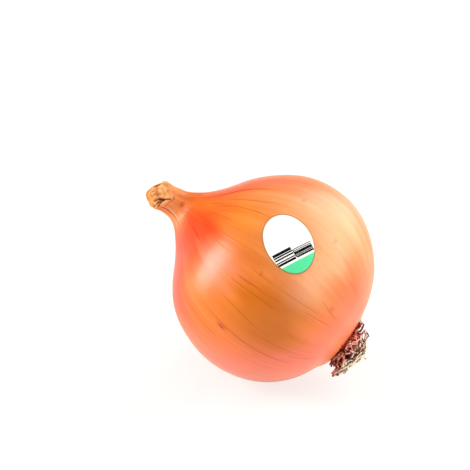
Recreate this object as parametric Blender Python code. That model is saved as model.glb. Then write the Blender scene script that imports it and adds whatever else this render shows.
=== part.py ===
"""A dry yellow onion lying on its side, with its cut neck raised. Metres, +Z up.

The onion is shaped in its own frame: its axis is z, from the root plate at the bottom to the neck
at the top, with the widest girth at z = 0. A longitude is measured round that axis, from the side
that ends up on top. One placement then tips the whole onion over on to its resting spot, with that
spot's centre at the origin.
"""

import math
import random

import bmesh
import bpy
from mathutils import Matrix, Quaternion, Vector

MM = 0.001

# Driving dimensions of the bulb
BULB_R = 43.0 * MM
ROOT_REACH = 38.5 * MM
NECK_REACH = 40.65 * MM
SHOULDER_Z = 34.5 * MM
PLATE_Z = -37.3 * MM
PLATE_RECESS = 0.9 * MM
RECESS_R = 9.6 * MM

# A shallow dip round the bulb, just above the root plate
CROWN_DIP = 1.0 * MM
CROWN_Z = -34.3 * MM
CROWN_WIDTH = 2.5 * MM

# How far the girth sits off the axis, and over which heights
SHOULDER_LEAN = 0.9 * MM
SHOULDER_LEAN_Z = 27.0 * MM
SHOULDER_LEAN_WIDTH = 9.0 * MM
BASE_LEAN = 1.0 * MM
BASE_LEAN_DEPTHS = (5.0 * MM, 32.0 * MM)
ROOT_LEAN = 3.3 * MM
ROOT_LEAN_DEPTHS = (34.0 * MM, 38.0 * MM)

# Driving dimensions of the neck
NECK_Z = 51.4 * MM
NECK_R = 5.7 * MM
NECK_TAPER = -0.1
NECK_WAIST = 0.35 * MM
NECK_END_Z = 59.0 * MM
NECK_SHAPE_ZS = (36.0 * MM, 52.0 * MM)
BEND_Z = 43.0 * MM
BEND_ANGLE = math.radians(36.0)
CUT_SLOPE = 0.32
NOTCH_DEPTH = 1.8 * MM
NOTCH_TURN = math.radians(32.0)
SKIN_WALL = 0.7 * MM
NECK_HOLLOW = 6.5 * MM
RAGGED = 0.7 * MM
PLEAT = 0.07
PLEATS = 9

# The cut end of the inner sheaths
SHEATH_DOME = 0.9 * MM
SHEATH_LAYER = 0.2 * MM
FOLD_DEPTH = 2.2 * MM
CRACK_DEPTH = 1.3 * MM

# How the onion lies: the neck end rises by AXIS_RISE and points along -X
AXIS_RISE = math.radians(31.4)
FLAT_DEPTH = 0.9 * MM

# Longitudes: the visible front, its low side, the neck's bend and the slope of its cut
FRONT_LON = math.radians(-54.0)
LOW_LON = math.radians(-144.0)
BEND_LON = math.radians(-72.0)
CUT_LON = math.radians(-32.0)
NOTCH_LON = math.radians(-40.0)

# The oval produce label
LABEL_LENGTH = 25.5 * MM
LABEL_WIDTH = 19.2 * MM
LABEL_THICK = 0.4 * MM
LABEL_Z = 5.4 * MM
LABEL_LON = math.radians(-34.7)
LABEL_TURN = math.radians(32.5)

# The woody root plate: each ring's share of the radius, and its share of the drop
ROOT_PLATE_R = 8.8 * MM
ROOT_PLATE_DEPTH = 2.4 * MM
PLATE_LOBE = 0.03
PLATE_RINGS = ((0.5, 0.0), (0.93, 0.0), (1.0, 0.35), (0.93, 0.6), (0.7, 0.87), (0.35, 1.0))
PLATE_SIDES = 28

# The dried roots: a nest below the plate, and stubs round its rim
ROOT_THICK = 1.0 * MM
ROOT_TAPER = 0.35
NEST_R = 11.2 * MM
NEST_DEPTH = 9.2 * MM
NEST_SHIFT = 1.8 * MM
NEST_COUNT = 62
STUB_COUNT = 30

# Stiffer roots that stand out of the nest: longitude off the low side, reach and depth of the end
STRAYS = (
    (0.0, 13.8 * MM, 4.4 * MM),
    (0.16, 13.4 * MM, 3.3 * MM),
    (-0.3, 12.6 * MM, 5.2 * MM),
    (0.75, 12.0 * MM, 5.0 * MM),
    (2.6, 10.4 * MM, 3.6 * MM),
    (3.3, 10.6 * MM, 2.6 * MM),
    (-1.2, 12.0 * MM, 4.4 * MM),
)

GAP = 0.3 * MM
SIDES = 60
GOLDEN_ANGLE = math.pi * (3.0 - math.sqrt(5.0))


def clear_scene():
    """Remove every object that the file opened with."""
    for obj in list(bpy.data.objects):
        bpy.data.objects.remove(obj)


def finish(name, colour, roughness):
    """A Principled material of one colour."""
    material = bpy.data.materials.new(name)
    material.use_nodes = True
    shader = material.node_tree.nodes["Principled BSDF"]
    shader.inputs["Base Color"].default_value = (*colour, 1.0)
    shader.inputs["Roughness"].default_value = roughness
    shader.inputs["Metallic"].default_value = 0.0
    return material


def add_object(name, points, faces, material):
    """An object with a closed mesh, its faces turned outwards, shaded smooth but for sharp edges."""
    mesh = bpy.data.meshes.new(name)
    mesh.from_pydata(points, [], faces)
    work = bmesh.new()
    work.from_mesh(mesh)
    bmesh.ops.recalc_face_normals(work, faces=work.faces)
    work.to_mesh(mesh)
    work.free()
    mesh.materials.append(material)
    mesh.shade_smooth()
    mesh.set_sharp_from_angle(angle=math.radians(40.0))
    obj = bpy.data.objects.new(name, mesh)
    bpy.context.scene.collection.objects.link(obj)
    return obj


def smooth_step(value, low, high):
    """0 below low, 1 above high, and an even rise between."""
    share = min(1.0, max(0.0, (value - low) / (high - low)))
    return share * share * (3.0 - 2.0 * share)


def bump(value, middle, width):
    """1 at the middle, falling to 0 over about that width on each side."""
    return math.exp(-(((value - middle) / width) ** 2))


def towards(lon):
    """The direction square to the axis at that longitude."""
    return Vector((math.cos(lon), math.sin(lon), 0.0))


def longitudes(sides=SIDES):
    """Evenly spaced longitudes."""
    return [2.0 * math.pi * i / sides for i in range(sides)]


def ellipse_radius(z, reach):
    """Radius at height z of the half ellipse that reaches that far along the axis."""
    return BULB_R * math.sqrt(max(0.0, 1.0 - (z / reach) ** 2))


def shoulder_radius(z):
    """The hollow curve from the shoulder into the neck: one cubic that keeps both end slopes."""
    start_r = ellipse_radius(SHOULDER_Z, NECK_REACH)
    start_slope = -(BULB_R**2) * SHOULDER_Z / (NECK_REACH**2 * start_r)
    span = NECK_Z - SHOULDER_Z
    t = (z - SHOULDER_Z) / span
    start_share = 2 * t**3 - 3 * t**2 + 1
    along_start = (t**3 - 2 * t**2 + t) * span * start_slope
    along_end = (t**3 - t**2) * span * NECK_TAPER
    return start_share * start_r + along_start + (1 - start_share) * NECK_R + along_end


def profile_radius(z):
    """The skin's mean radius at height z."""
    if z < 0:
        return ellipse_radius(z, ROOT_REACH) - CROWN_DIP * bump(z, CROWN_Z, CROWN_WIDTH)
    if z < SHOULDER_Z:
        return ellipse_radius(z, NECK_REACH)
    if z < NECK_Z:
        return shoulder_radius(z)
    share = (z - NECK_Z) / (NECK_END_Z - NECK_Z)
    return NECK_R - NECK_WAIST * math.sin(math.pi * min(1.0, share))


def swell(z, lon):
    """The onion's unevenness, as a factor on the radius: a lobed girth, a squashed and pleated neck."""
    girth = 0.008 * math.cos(2 * (lon - 0.6)) + 0.005 * math.cos(3 * (lon + 1.1))
    squash = 0.07 * math.cos(2 * (lon - LOW_LON)) + 0.035 * math.cos(3 * (lon - 0.4))
    pleats = PLEAT * (abs(math.cos(0.5 * PLEATS * lon + 0.5 * math.sin(2 * lon))) - 0.5)
    neck_share = smooth_step(z, *NECK_SHAPE_ZS)
    return 1.0 + (1.0 - neck_share) * girth + neck_share * (squash + pleats)


def lean(z):
    """How far the girth at height z sits off the axis, towards the low side."""
    shoulder = SHOULDER_LEAN * bump(z, SHOULDER_LEAN_Z, SHOULDER_LEAN_WIDTH)
    base = BASE_LEAN * smooth_step(-z, *BASE_LEAN_DEPTHS)
    return shoulder + base + ROOT_LEAN * smooth_step(-z, *ROOT_LEAN_DEPTHS)


def axis_frame(z):
    """The centre of the girth at height z, and how far the axis has turned there."""
    if z <= BEND_Z:
        return Vector((0.0, 0.0, z)) + lean(z) * towards(LOW_LON), Quaternion()
    curve_r = (NECK_END_Z - BEND_Z) / BEND_ANGLE
    angle = (z - BEND_Z) / curve_r
    centre = Vector((0.0, 0.0, BEND_Z + curve_r * math.sin(angle)))
    centre += curve_r * (1.0 - math.cos(angle)) * towards(BEND_LON)
    return centre, Quaternion(Vector((0, 0, 1)).cross(towards(BEND_LON)), angle)


def ring_point(z, radius, lon):
    """A point at that radius round the onion's bent axis."""
    centre, turn = axis_frame(z)
    return centre + turn @ (radius * towards(lon))


def skin_point(z, lon, outwards=0.0):
    """A point on the skin, or that far outside it."""
    return ring_point(z, profile_radius(z) * swell(z, lon) + outwards, lon)


def cut_height(radius, lon):
    """How far the oblique, ragged cut across the neck lies from its mean height.

    The cut runs out over the neck's front in a shallow notch.
    """
    ragged = 0.7 * math.sin(3 * lon + 0.5) + 0.3 * math.sin(7 * lon + 2.0)
    off_notch = math.remainder(lon - NOTCH_LON, 2 * math.pi)
    notch = NOTCH_DEPTH * bump(off_notch, 0.0, NOTCH_TURN) * (radius / NECK_R) ** 2
    return RAGGED * ragged - CUT_SLOPE * radius * math.cos(lon - CUT_LON) - notch


def skin_heights():
    """Heights of the rings from the root plate's rim to the neck, closer where the skin turns in."""
    rim_angle = math.acos(-PLATE_Z / ROOT_REACH)
    shoulder_angle = math.asin(SHOULDER_Z / NECK_REACH)
    below, above, hollow = 16, 12, 11
    heights = []
    for i in range(below):
        heights.append(-ROOT_REACH * math.cos(rim_angle + (math.pi / 2 - rim_angle) * i / below))
    for i in range(above):
        heights.append(NECK_REACH * math.sin(shoulder_angle * i / above))
    for i in range(hollow):
        heights.append(SHOULDER_Z + (NECK_Z - SHOULDER_Z) * i / hollow)
    return heights


def closed_rings(rings, first_pole, last_pole):
    """Points and faces of a solid made of rings, closed by a pole at each end."""
    sides = len(rings[0])
    points = [point for ring in rings for point in ring]
    first, last = len(points), len(points) + 1
    points += [first_pole, last_pole]
    top = (len(rings) - 1) * sides
    faces = []
    for i in range(sides):
        j = (i + 1) % sides
        for low in range(0, top, sides):
            faces.append((low + i, low + j, low + sides + j, low + sides + i))
        faces.append((j, i, first))
        faces.append((top + i, top + j, last))
    return points, faces


def neck_ring(z, cut_share, inset):
    """A ring of the neck, moved by a share of the cut's height, and set in from the skin."""
    ring = []
    for lon in longitudes():
        radius = profile_radius(z) * swell(z, lon) - inset
        ring.append(ring_point(z + cut_share * cut_height(radius, lon), radius, lon))
    return ring


def flatten_underside(obj, depth):
    """Cut the resting spot: a level cap that deep into the lowest point. Returns its centre."""
    work = bmesh.new()
    work.from_mesh(obj.data)
    floor = min((obj.matrix_world @ vertex.co).z for vertex in work.verts) + depth
    to_own = obj.matrix_world.inverted()
    level = to_own @ Vector((0, 0, floor))
    normal = (to_own.to_3x3() @ Vector((0, 0, 1))).normalized()
    everything = work.verts[:] + work.edges[:] + work.faces[:]
    cut = bmesh.ops.bisect_plane(
        work, geom=everything, dist=1e-7, plane_co=level, plane_no=normal, clear_inner=True
    )
    rim = [item for item in cut["geom_cut"] if isinstance(item, bmesh.types.BMEdge)]
    bmesh.ops.contextual_create(work, geom=rim)
    for edge in rim:
        edge.smooth = False
    corners = [obj.matrix_world @ vertex.co for edge in rim for vertex in edge.verts]
    work.to_mesh(obj.data)
    work.free()
    xs = [corner.x for corner in corners]
    ys = [corner.y for corner in corners]
    return Vector((0.5 * (min(xs) + max(xs)), 0.5 * (min(ys) + max(ys)), floor))


def build_bulb():
    """The bulb and its neck: one grown piece, from the recess of the root plate to the cut end."""
    skin = finish("onion_skin", (0.80, 0.33, 0.07), 0.38)
    recess_z = PLATE_Z + PLATE_RECESS
    rings = [[ring_point(recess_z, RECESS_R, lon) for lon in longitudes()]]
    for z in skin_heights():
        rings.append([skin_point(z, lon) for lon in longitudes()])
    steps = 5
    for i in range(steps + 1):
        share = i / steps
        rings.append(neck_ring(NECK_Z + (NECK_END_Z - NECK_Z) * share, share, 0.0))
    for share in (0.0, 0.5, 1.0):
        rings.append(neck_ring(NECK_END_Z - share * NECK_HOLLOW, 1.0 - share, SKIN_WALL))
    root_pole = ring_point(recess_z, 0.0, 0.0)
    neck_pole = ring_point(NECK_END_Z - NECK_HOLLOW, 0.0, 0.0)
    points, faces = closed_rings(rings, root_pole, neck_pole)
    return add_object("bulb", points, faces, skin)


def near_line(u, v, start, end, width):
    """1 on the line from start to end, falling to 0 over about that width."""
    along_u, along_v = end[0] - start[0], end[1] - start[1]
    share = ((u - start[0]) * along_u + (v - start[1]) * along_v) / (along_u**2 + along_v**2)
    share = min(1.0, max(0.0, share))
    away = math.hypot(u - start[0] - share * along_u, v - start[1] - share * along_v)
    return bump(away, 0.0, width)


def sheath_relief(share, lon):
    """Height of the inner sheaths' cut end: a low dome of rolled layers, with a fold and two cracks."""
    front = share * math.cos(lon - FRONT_LON)
    low = share * math.cos(lon - LOW_LON)
    layers = math.cos(2 * math.pi * (2.6 * share + lon / (2 * math.pi))) * smooth_step(share, 0.1, 0.5)
    fold = near_line(front, low, (0.1, 0.42), (1.0, -0.15), 0.13)
    cracks = near_line(front, low, (0.2, 0.85), (0.5, 0.38), 0.09)
    cracks += near_line(front, low, (0.6, 0.8), (0.62, 0.42), 0.09)
    raised = SHEATH_DOME * (1.0 - share**2) + SHEATH_LAYER * layers
    edge_fade = 1.0 - smooth_step(share, 0.8, 1.0)
    return raised - edge_fade * (FOLD_DEPTH * fold + CRACK_DEPTH * cracks)


def build_neck_sheaths():
    """The dried inner leaf sheaths, rolled tight in the neck and cut across with it."""
    dry_leaf = finish("dry_sheath", (0.72, 0.46, 0.22), 0.62)
    inset = SKIN_WALL + GAP
    floor_z = NECK_END_Z - NECK_HOLLOW + GAP
    rings = [
        neck_ring(floor_z, GAP / NECK_HOLLOW, inset),
        neck_ring(NECK_END_Z - 0.5 * NECK_HOLLOW, 0.5, inset),
    ]
    face_rings = 9
    for i in range(face_rings):
        share = 1.0 - i / face_rings
        ring = []
        for lon in longitudes():
            radius = share * (profile_radius(NECK_END_Z) * swell(NECK_END_Z, lon) - inset)
            height = cut_height(radius, lon) + sheath_relief(share, lon)
            ring.append(ring_point(NECK_END_Z + height, radius, lon))
        rings.append(ring)
    low_pole = ring_point(floor_z, 0.0, 0.0)
    top_pole = ring_point(NECK_END_Z + sheath_relief(0.0, 0.0), 0.0, 0.0)
    points, faces = closed_rings(rings, low_pole, top_pole)
    return add_object("neck_sheaths", points, faces, dry_leaf)


def label_point(share, angle, outwards):
    """A point of the label: share is 0 at its middle and 1 on its edge."""
    along = share * 0.5 * LABEL_LENGTH * math.cos(angle)
    across = share * 0.5 * LABEL_WIDTH * math.sin(angle)
    to_neck = along * math.cos(LABEL_TURN) - across * math.sin(LABEL_TURN)
    round_girth = along * math.sin(LABEL_TURN) + across * math.cos(LABEL_TURN)
    z = LABEL_Z + BULB_R * math.sin(to_neck / BULB_R)
    return skin_point(z, LABEL_LON + round_girth / profile_radius(z), outwards)


def build_label():
    """The oval produce label, pressed on to the skin."""
    paper = finish("label_face", (0.93, 0.93, 0.91), 0.45)
    angles = longitudes(36)
    shares = (0.34, 0.68, 1.0)
    inner, outer = GAP, GAP + LABEL_THICK
    rings = [[label_point(share, angle, inner) for angle in angles] for share in shares]
    rings += [[label_point(share, angle, outer) for angle in angles] for share in reversed(shares)]
    poles = label_point(0.0, 0.0, inner), label_point(0.0, 0.0, outer)
    points, faces = closed_rings(rings, *poles)
    return add_object("label", points, faces, paper)


def tube(points, thickness, sides=3):
    """Points and faces of a root along a path, thinning to its far end."""
    rings = []
    side = (points[1] - points[0]).orthogonal().normalized()
    for i, point in enumerate(points):
        ahead = (points[min(i + 1, len(points) - 1)] - points[max(i - 1, 0)]).normalized()
        side = (side - side.dot(ahead) * ahead).normalized()
        other = ahead.cross(side)
        radius = 0.5 * thickness * (1.0 - ROOT_TAPER * i / (len(points) - 1))
        ring = []
        for angle in longitudes(sides):
            ring.append(point + radius * (math.cos(angle) * side + math.sin(angle) * other))
        rings.append(ring)
    return closed_rings(rings, points[0], points[-1])


def keep_off_skin(point):
    """The point moved down the axis until it clears the bulb's root end."""
    clear = GAP + 0.6 * ROOT_THICK
    z = point.z
    while z > PLATE_Z - clear:
        middle = axis_frame(z)[0]
        if math.hypot(point.x - middle.x, point.y - middle.y) > profile_radius(z) + clear:
            break
        z -= 0.1 * MM
    return Vector((point.x, point.y, z))


def under_plate(lon, reach, depth):
    """A point that far out from the plate's middle, and that deep below it."""
    point = axis_frame(PLATE_Z)[0] + reach * towards(lon)
    point.z -= depth
    return point


def nest_root(rng, index):
    """Path of one dried root: down out of the plate, then round the nest in an uneven arc."""
    lon = index * GOLDEN_ANGLE
    start_reach = 0.86 * ROOT_PLATE_R * math.sqrt((index + 0.5) / NEST_COUNT)
    start = under_plate(lon, start_reach, 1.2 * MM)
    nest_middle = under_plate(LOW_LON, NEST_SHIFT, 0.6 * MM)
    sweep = rng.choice((-1.0, 1.0)) * rng.uniform(1.1, 2.6)
    layer = rng.uniform(0.5, 1.0)
    tilt = rng.uniform(0.25, 1.35)
    tilt_change = rng.uniform(-0.7, 0.7)
    wave, beat = rng.uniform(0.05, 0.16), rng.uniform(2.0, 4.5)
    steps = 8
    path = []
    for i in range(steps + 1):
        t = i / steps
        off_pole = tilt + tilt_change * t + wave * math.sin(beat * t * math.pi)
        off_pole = min(1.5, max(0.1, off_pole))
        point = nest_middle + layer * NEST_R * math.sin(off_pole) ** 0.8 * towards(lon + sweep * t)
        point.z -= layer * NEST_DEPTH * math.cos(off_pole) ** 0.6
        point = start.lerp(point, smooth_step(t, 0.0, 0.4))
        path.append(keep_off_skin(point) if i > 1 else point)
    return path


def stub_root(rng, index):
    """Path of one short stub at the plate's rim, lying out over the skin."""
    lon = 2 * math.pi * (index + rng.uniform(-0.3, 0.3)) / STUB_COUNT
    step = rng.uniform(0.9, 1.5) * MM
    twist = rng.uniform(-0.12, 0.12)
    path = []
    for i in range(4):
        reach = ROOT_PLATE_R - 1.4 * MM + i * step
        depth = (1.2 + 0.3 * i * rng.uniform(0.2, 1.6)) * MM
        point = under_plate(lon + i * twist, reach, depth)
        path.append(keep_off_skin(point) if i > 1 else point)
    return path


def stray_root(rng, off_low, reach, depth):
    """Path of one stiffer root that stands out of the nest, most of them on its low side."""
    lon = LOW_LON + off_low
    start = under_plate(lon, 0.5 * ROOT_PLATE_R, 1.4 * MM)
    end = under_plate(lon, reach, depth)
    path = []
    for i in range(5):
        point = start.lerp(end, i / 4)
        point.z -= 1.1 * MM * math.sin(math.pi * i / 4)
        point += 0.35 * MM * rng.uniform(-1.0, 1.0) * towards(lon + math.pi / 2)
        path.append(keep_off_skin(point) if i > 1 else point)
    return path


def build_root_plate(material):
    """The woody basal plate: a low dome that fills the recess in the bulb."""
    top_rise = PLATE_RECESS - GAP
    drop = top_rise + ROOT_PLATE_DEPTH
    rings = []
    for share, drop_share in PLATE_RINGS:
        ring = []
        for lon in longitudes(PLATE_SIDES):
            reach = share * ROOT_PLATE_R * (1.0 + PLATE_LOBE * math.sin(5 * lon))
            ring.append(under_plate(lon, reach, drop_share * drop - top_rise))
        rings.append(ring)
    top_pole = under_plate(0.0, 0.0, -top_rise)
    low_pole = under_plate(0.0, 0.0, ROOT_PLATE_DEPTH)
    points, faces = closed_rings(rings, top_pole, low_pole)
    return add_object("root_tuft", points, faces, material)


def fill_pockets(mesh):
    """Keep only the largest closed shell, so that the pockets between roots become solid."""
    work = bmesh.new()
    work.from_mesh(mesh)
    unseen = set(work.faces)
    shells = []
    while unseen:
        waiting = [unseen.pop()]
        shell = []
        while waiting:
            face = waiting.pop()
            shell.append(face)
            near = {other for edge in face.edges for other in edge.link_faces} & unseen
            unseen -= near
            waiting += near
        shells.append(shell)
    shells.sort(key=len)
    inner_faces = [face for shell in shells[:-1] for face in shell]
    bmesh.ops.delete(work, geom=inner_faces, context="FACES")
    work.to_mesh(mesh)
    work.free()


def build_root_tuft():
    """The basal plate with its nest of dried roots, joined as one woody body."""
    dry_root = finish("dry_root", (0.36, 0.22, 0.13), 0.85)
    plate = build_root_plate(dry_root)
    rng = random.Random(7)
    paths = [nest_root(rng, i) for i in range(NEST_COUNT)]
    paths += [stub_root(rng, i) for i in range(STUB_COUNT)]
    paths += [stray_root(rng, *stray) for stray in STRAYS]
    strands = bpy.data.collections.new("root_strands")
    bpy.context.scene.collection.children.link(strands)
    for i, path in enumerate(paths):
        points, faces = tube(path, ROOT_THICK * rng.uniform(0.85, 1.15))
        strand = add_object(f"strand_{i}", points, faces, dry_root)
        bpy.context.scene.collection.objects.unlink(strand)
        strands.objects.link(strand)
    union = plate.modifiers.new("join_roots", "BOOLEAN")
    union.operation = "UNION"
    union.operand_type = "COLLECTION"
    union.collection = strands
    union.solver = "MANIFOLD"
    graph = bpy.context.evaluated_depsgraph_get()
    joined = bpy.data.meshes.new_from_object(plate.evaluated_get(graph))
    plate.modifiers.clear()
    fill_pockets(joined)
    plate.data = joined
    for strand in list(strands.objects):
        bpy.data.objects.remove(strand)
    bpy.data.collections.remove(strands)
    return plate


def lay_down(pieces, bulb):
    """Tip the onion over, and stand it with its resting spot's centre at the origin."""
    tip = Matrix.Rotation(AXIS_RISE - math.pi / 2, 4, "Y")
    bulb.matrix_world = tip
    spot = flatten_underside(bulb, FLAT_DEPTH)
    for piece in pieces:
        piece.matrix_world = Matrix.Translation(-spot) @ tip


def main():
    """Build every piece and lay the onion down."""
    clear_scene()
    bulb = build_bulb()
    pieces = [bulb, build_neck_sheaths(), build_root_tuft(), build_label()]
    lay_down(pieces, bulb)


main()
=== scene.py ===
"""The looks of a dry yellow onion that lies on its side, with its cut neck raised.

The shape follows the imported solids: the same formulas give the skin here, only finer. The onion is
shaped in its own frame, whose z runs from the root plate up to the neck and is 0 at the widest
girth. A longitude is measured round that axis, from the side that ends up on top.
"""

import logging
import math
import random
from dataclasses import dataclass, field
from enum import Enum

import bmesh
import bpy
import numpy as np
from mathutils import Matrix, Vector


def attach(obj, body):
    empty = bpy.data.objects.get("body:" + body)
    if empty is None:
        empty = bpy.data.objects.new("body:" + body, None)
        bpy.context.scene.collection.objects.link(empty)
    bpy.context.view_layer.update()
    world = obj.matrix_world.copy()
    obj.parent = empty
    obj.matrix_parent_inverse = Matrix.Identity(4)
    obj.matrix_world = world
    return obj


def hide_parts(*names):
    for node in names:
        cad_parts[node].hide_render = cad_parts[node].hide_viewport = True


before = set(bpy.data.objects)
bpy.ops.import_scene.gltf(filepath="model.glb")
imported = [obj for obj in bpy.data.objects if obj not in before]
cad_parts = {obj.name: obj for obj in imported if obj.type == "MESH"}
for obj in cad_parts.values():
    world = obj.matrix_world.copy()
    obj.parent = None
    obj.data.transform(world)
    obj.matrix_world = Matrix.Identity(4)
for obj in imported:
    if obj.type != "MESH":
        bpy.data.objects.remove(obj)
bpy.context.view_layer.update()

MM = 0.001
BODY = "root"

# Short names for the types that the functions below take and give
Array = np.ndarray
Tree, Socket, Node = bpy.types.NodeTree, bpy.types.NodeSocket, bpy.types.Node
Outputs, Material, Object = bpy.types.NodeOutputs, bpy.types.Material, bpy.types.Object
Pair = tuple[float, float]
Triple = tuple[float, float, float]
Rows = tuple[tuple[float, ...], ...]

# The photograph's frame, and where the middle of the onion's girth stands in it
IMAGE_PIXELS = 470
FOCAL_PIXELS = 1727.0
GIRTH_PIXEL = (276.0, 278.0)

# Inputs and outputs of a Mix node that mixes colours
MIX_FACTOR, MIX_A, MIX_B, MIX_RESULT = 0, 6, 7, 2

log = logging.getLogger("onion")


class Slot(Enum):
    """The record's material slots."""

    SKIN = "outer_skin"
    SHEATH = "dry_sheath"
    ROOT = "dry_root"
    LABEL = "label_face"


def linear(colour: str) -> tuple[float, float, float, float]:
    """The linear colour of an sRGB hex code.

    Args:
        colour: Six hex digits after a hash sign.

    Returns:
        Red, green, blue and an alpha of 1.
    """
    channels = []
    for start in (1, 3, 5):
        share = int(colour[start:start + 2], 16) / 255.0
        low = share / 12.92
        channels.append(low if share <= 0.04045 else ((share + 0.055) / 1.055) ** 2.4)
    return (*channels, 1.0)


def smooth_step(value: Array, low: float, high: float) -> Array:
    """0 below low, 1 above high, and an even rise between."""
    share = np.clip((value - low) / (high - low), 0.0, 1.0)
    return share * share * (3.0 - 2.0 * share)


def bump(value: Array, middle: float, width: float) -> Array:
    """1 at the middle, falling to 0 over about that width on each side."""
    return np.exp(-(((value - middle) / width) ** 2))


def turn_apart(lon: Array, middle: float) -> Array:
    """How far longitudes lie from another, the short way round, from -pi to pi."""
    return (lon - middle + math.pi) % (2.0 * math.pi) - math.pi


def towards(lon: Array) -> Array:
    """The directions square to the axis at those longitudes, one row each."""
    return np.stack([np.cos(lon), np.sin(lon), np.zeros_like(lon)], axis=-1)


def longitudes(sides: int) -> Array:
    """That many evenly spaced longitudes."""
    return np.arange(sides) * (2.0 * math.pi / sides)


def waves(lon: Array, rows: Rows) -> Array:
    """Waves round the axis, added up: the height, the number and the shift of each."""
    return sum(height * np.sin(count * lon + shift) for height, count, shift in rows)


def lobes(lon: Array, rows: Rows) -> Array:
    """Bulges round the axis, added up: the height, the number and the longitude of each."""
    return sum(height * np.cos(count * (lon - middle)) for height, count, middle in rows)


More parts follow.
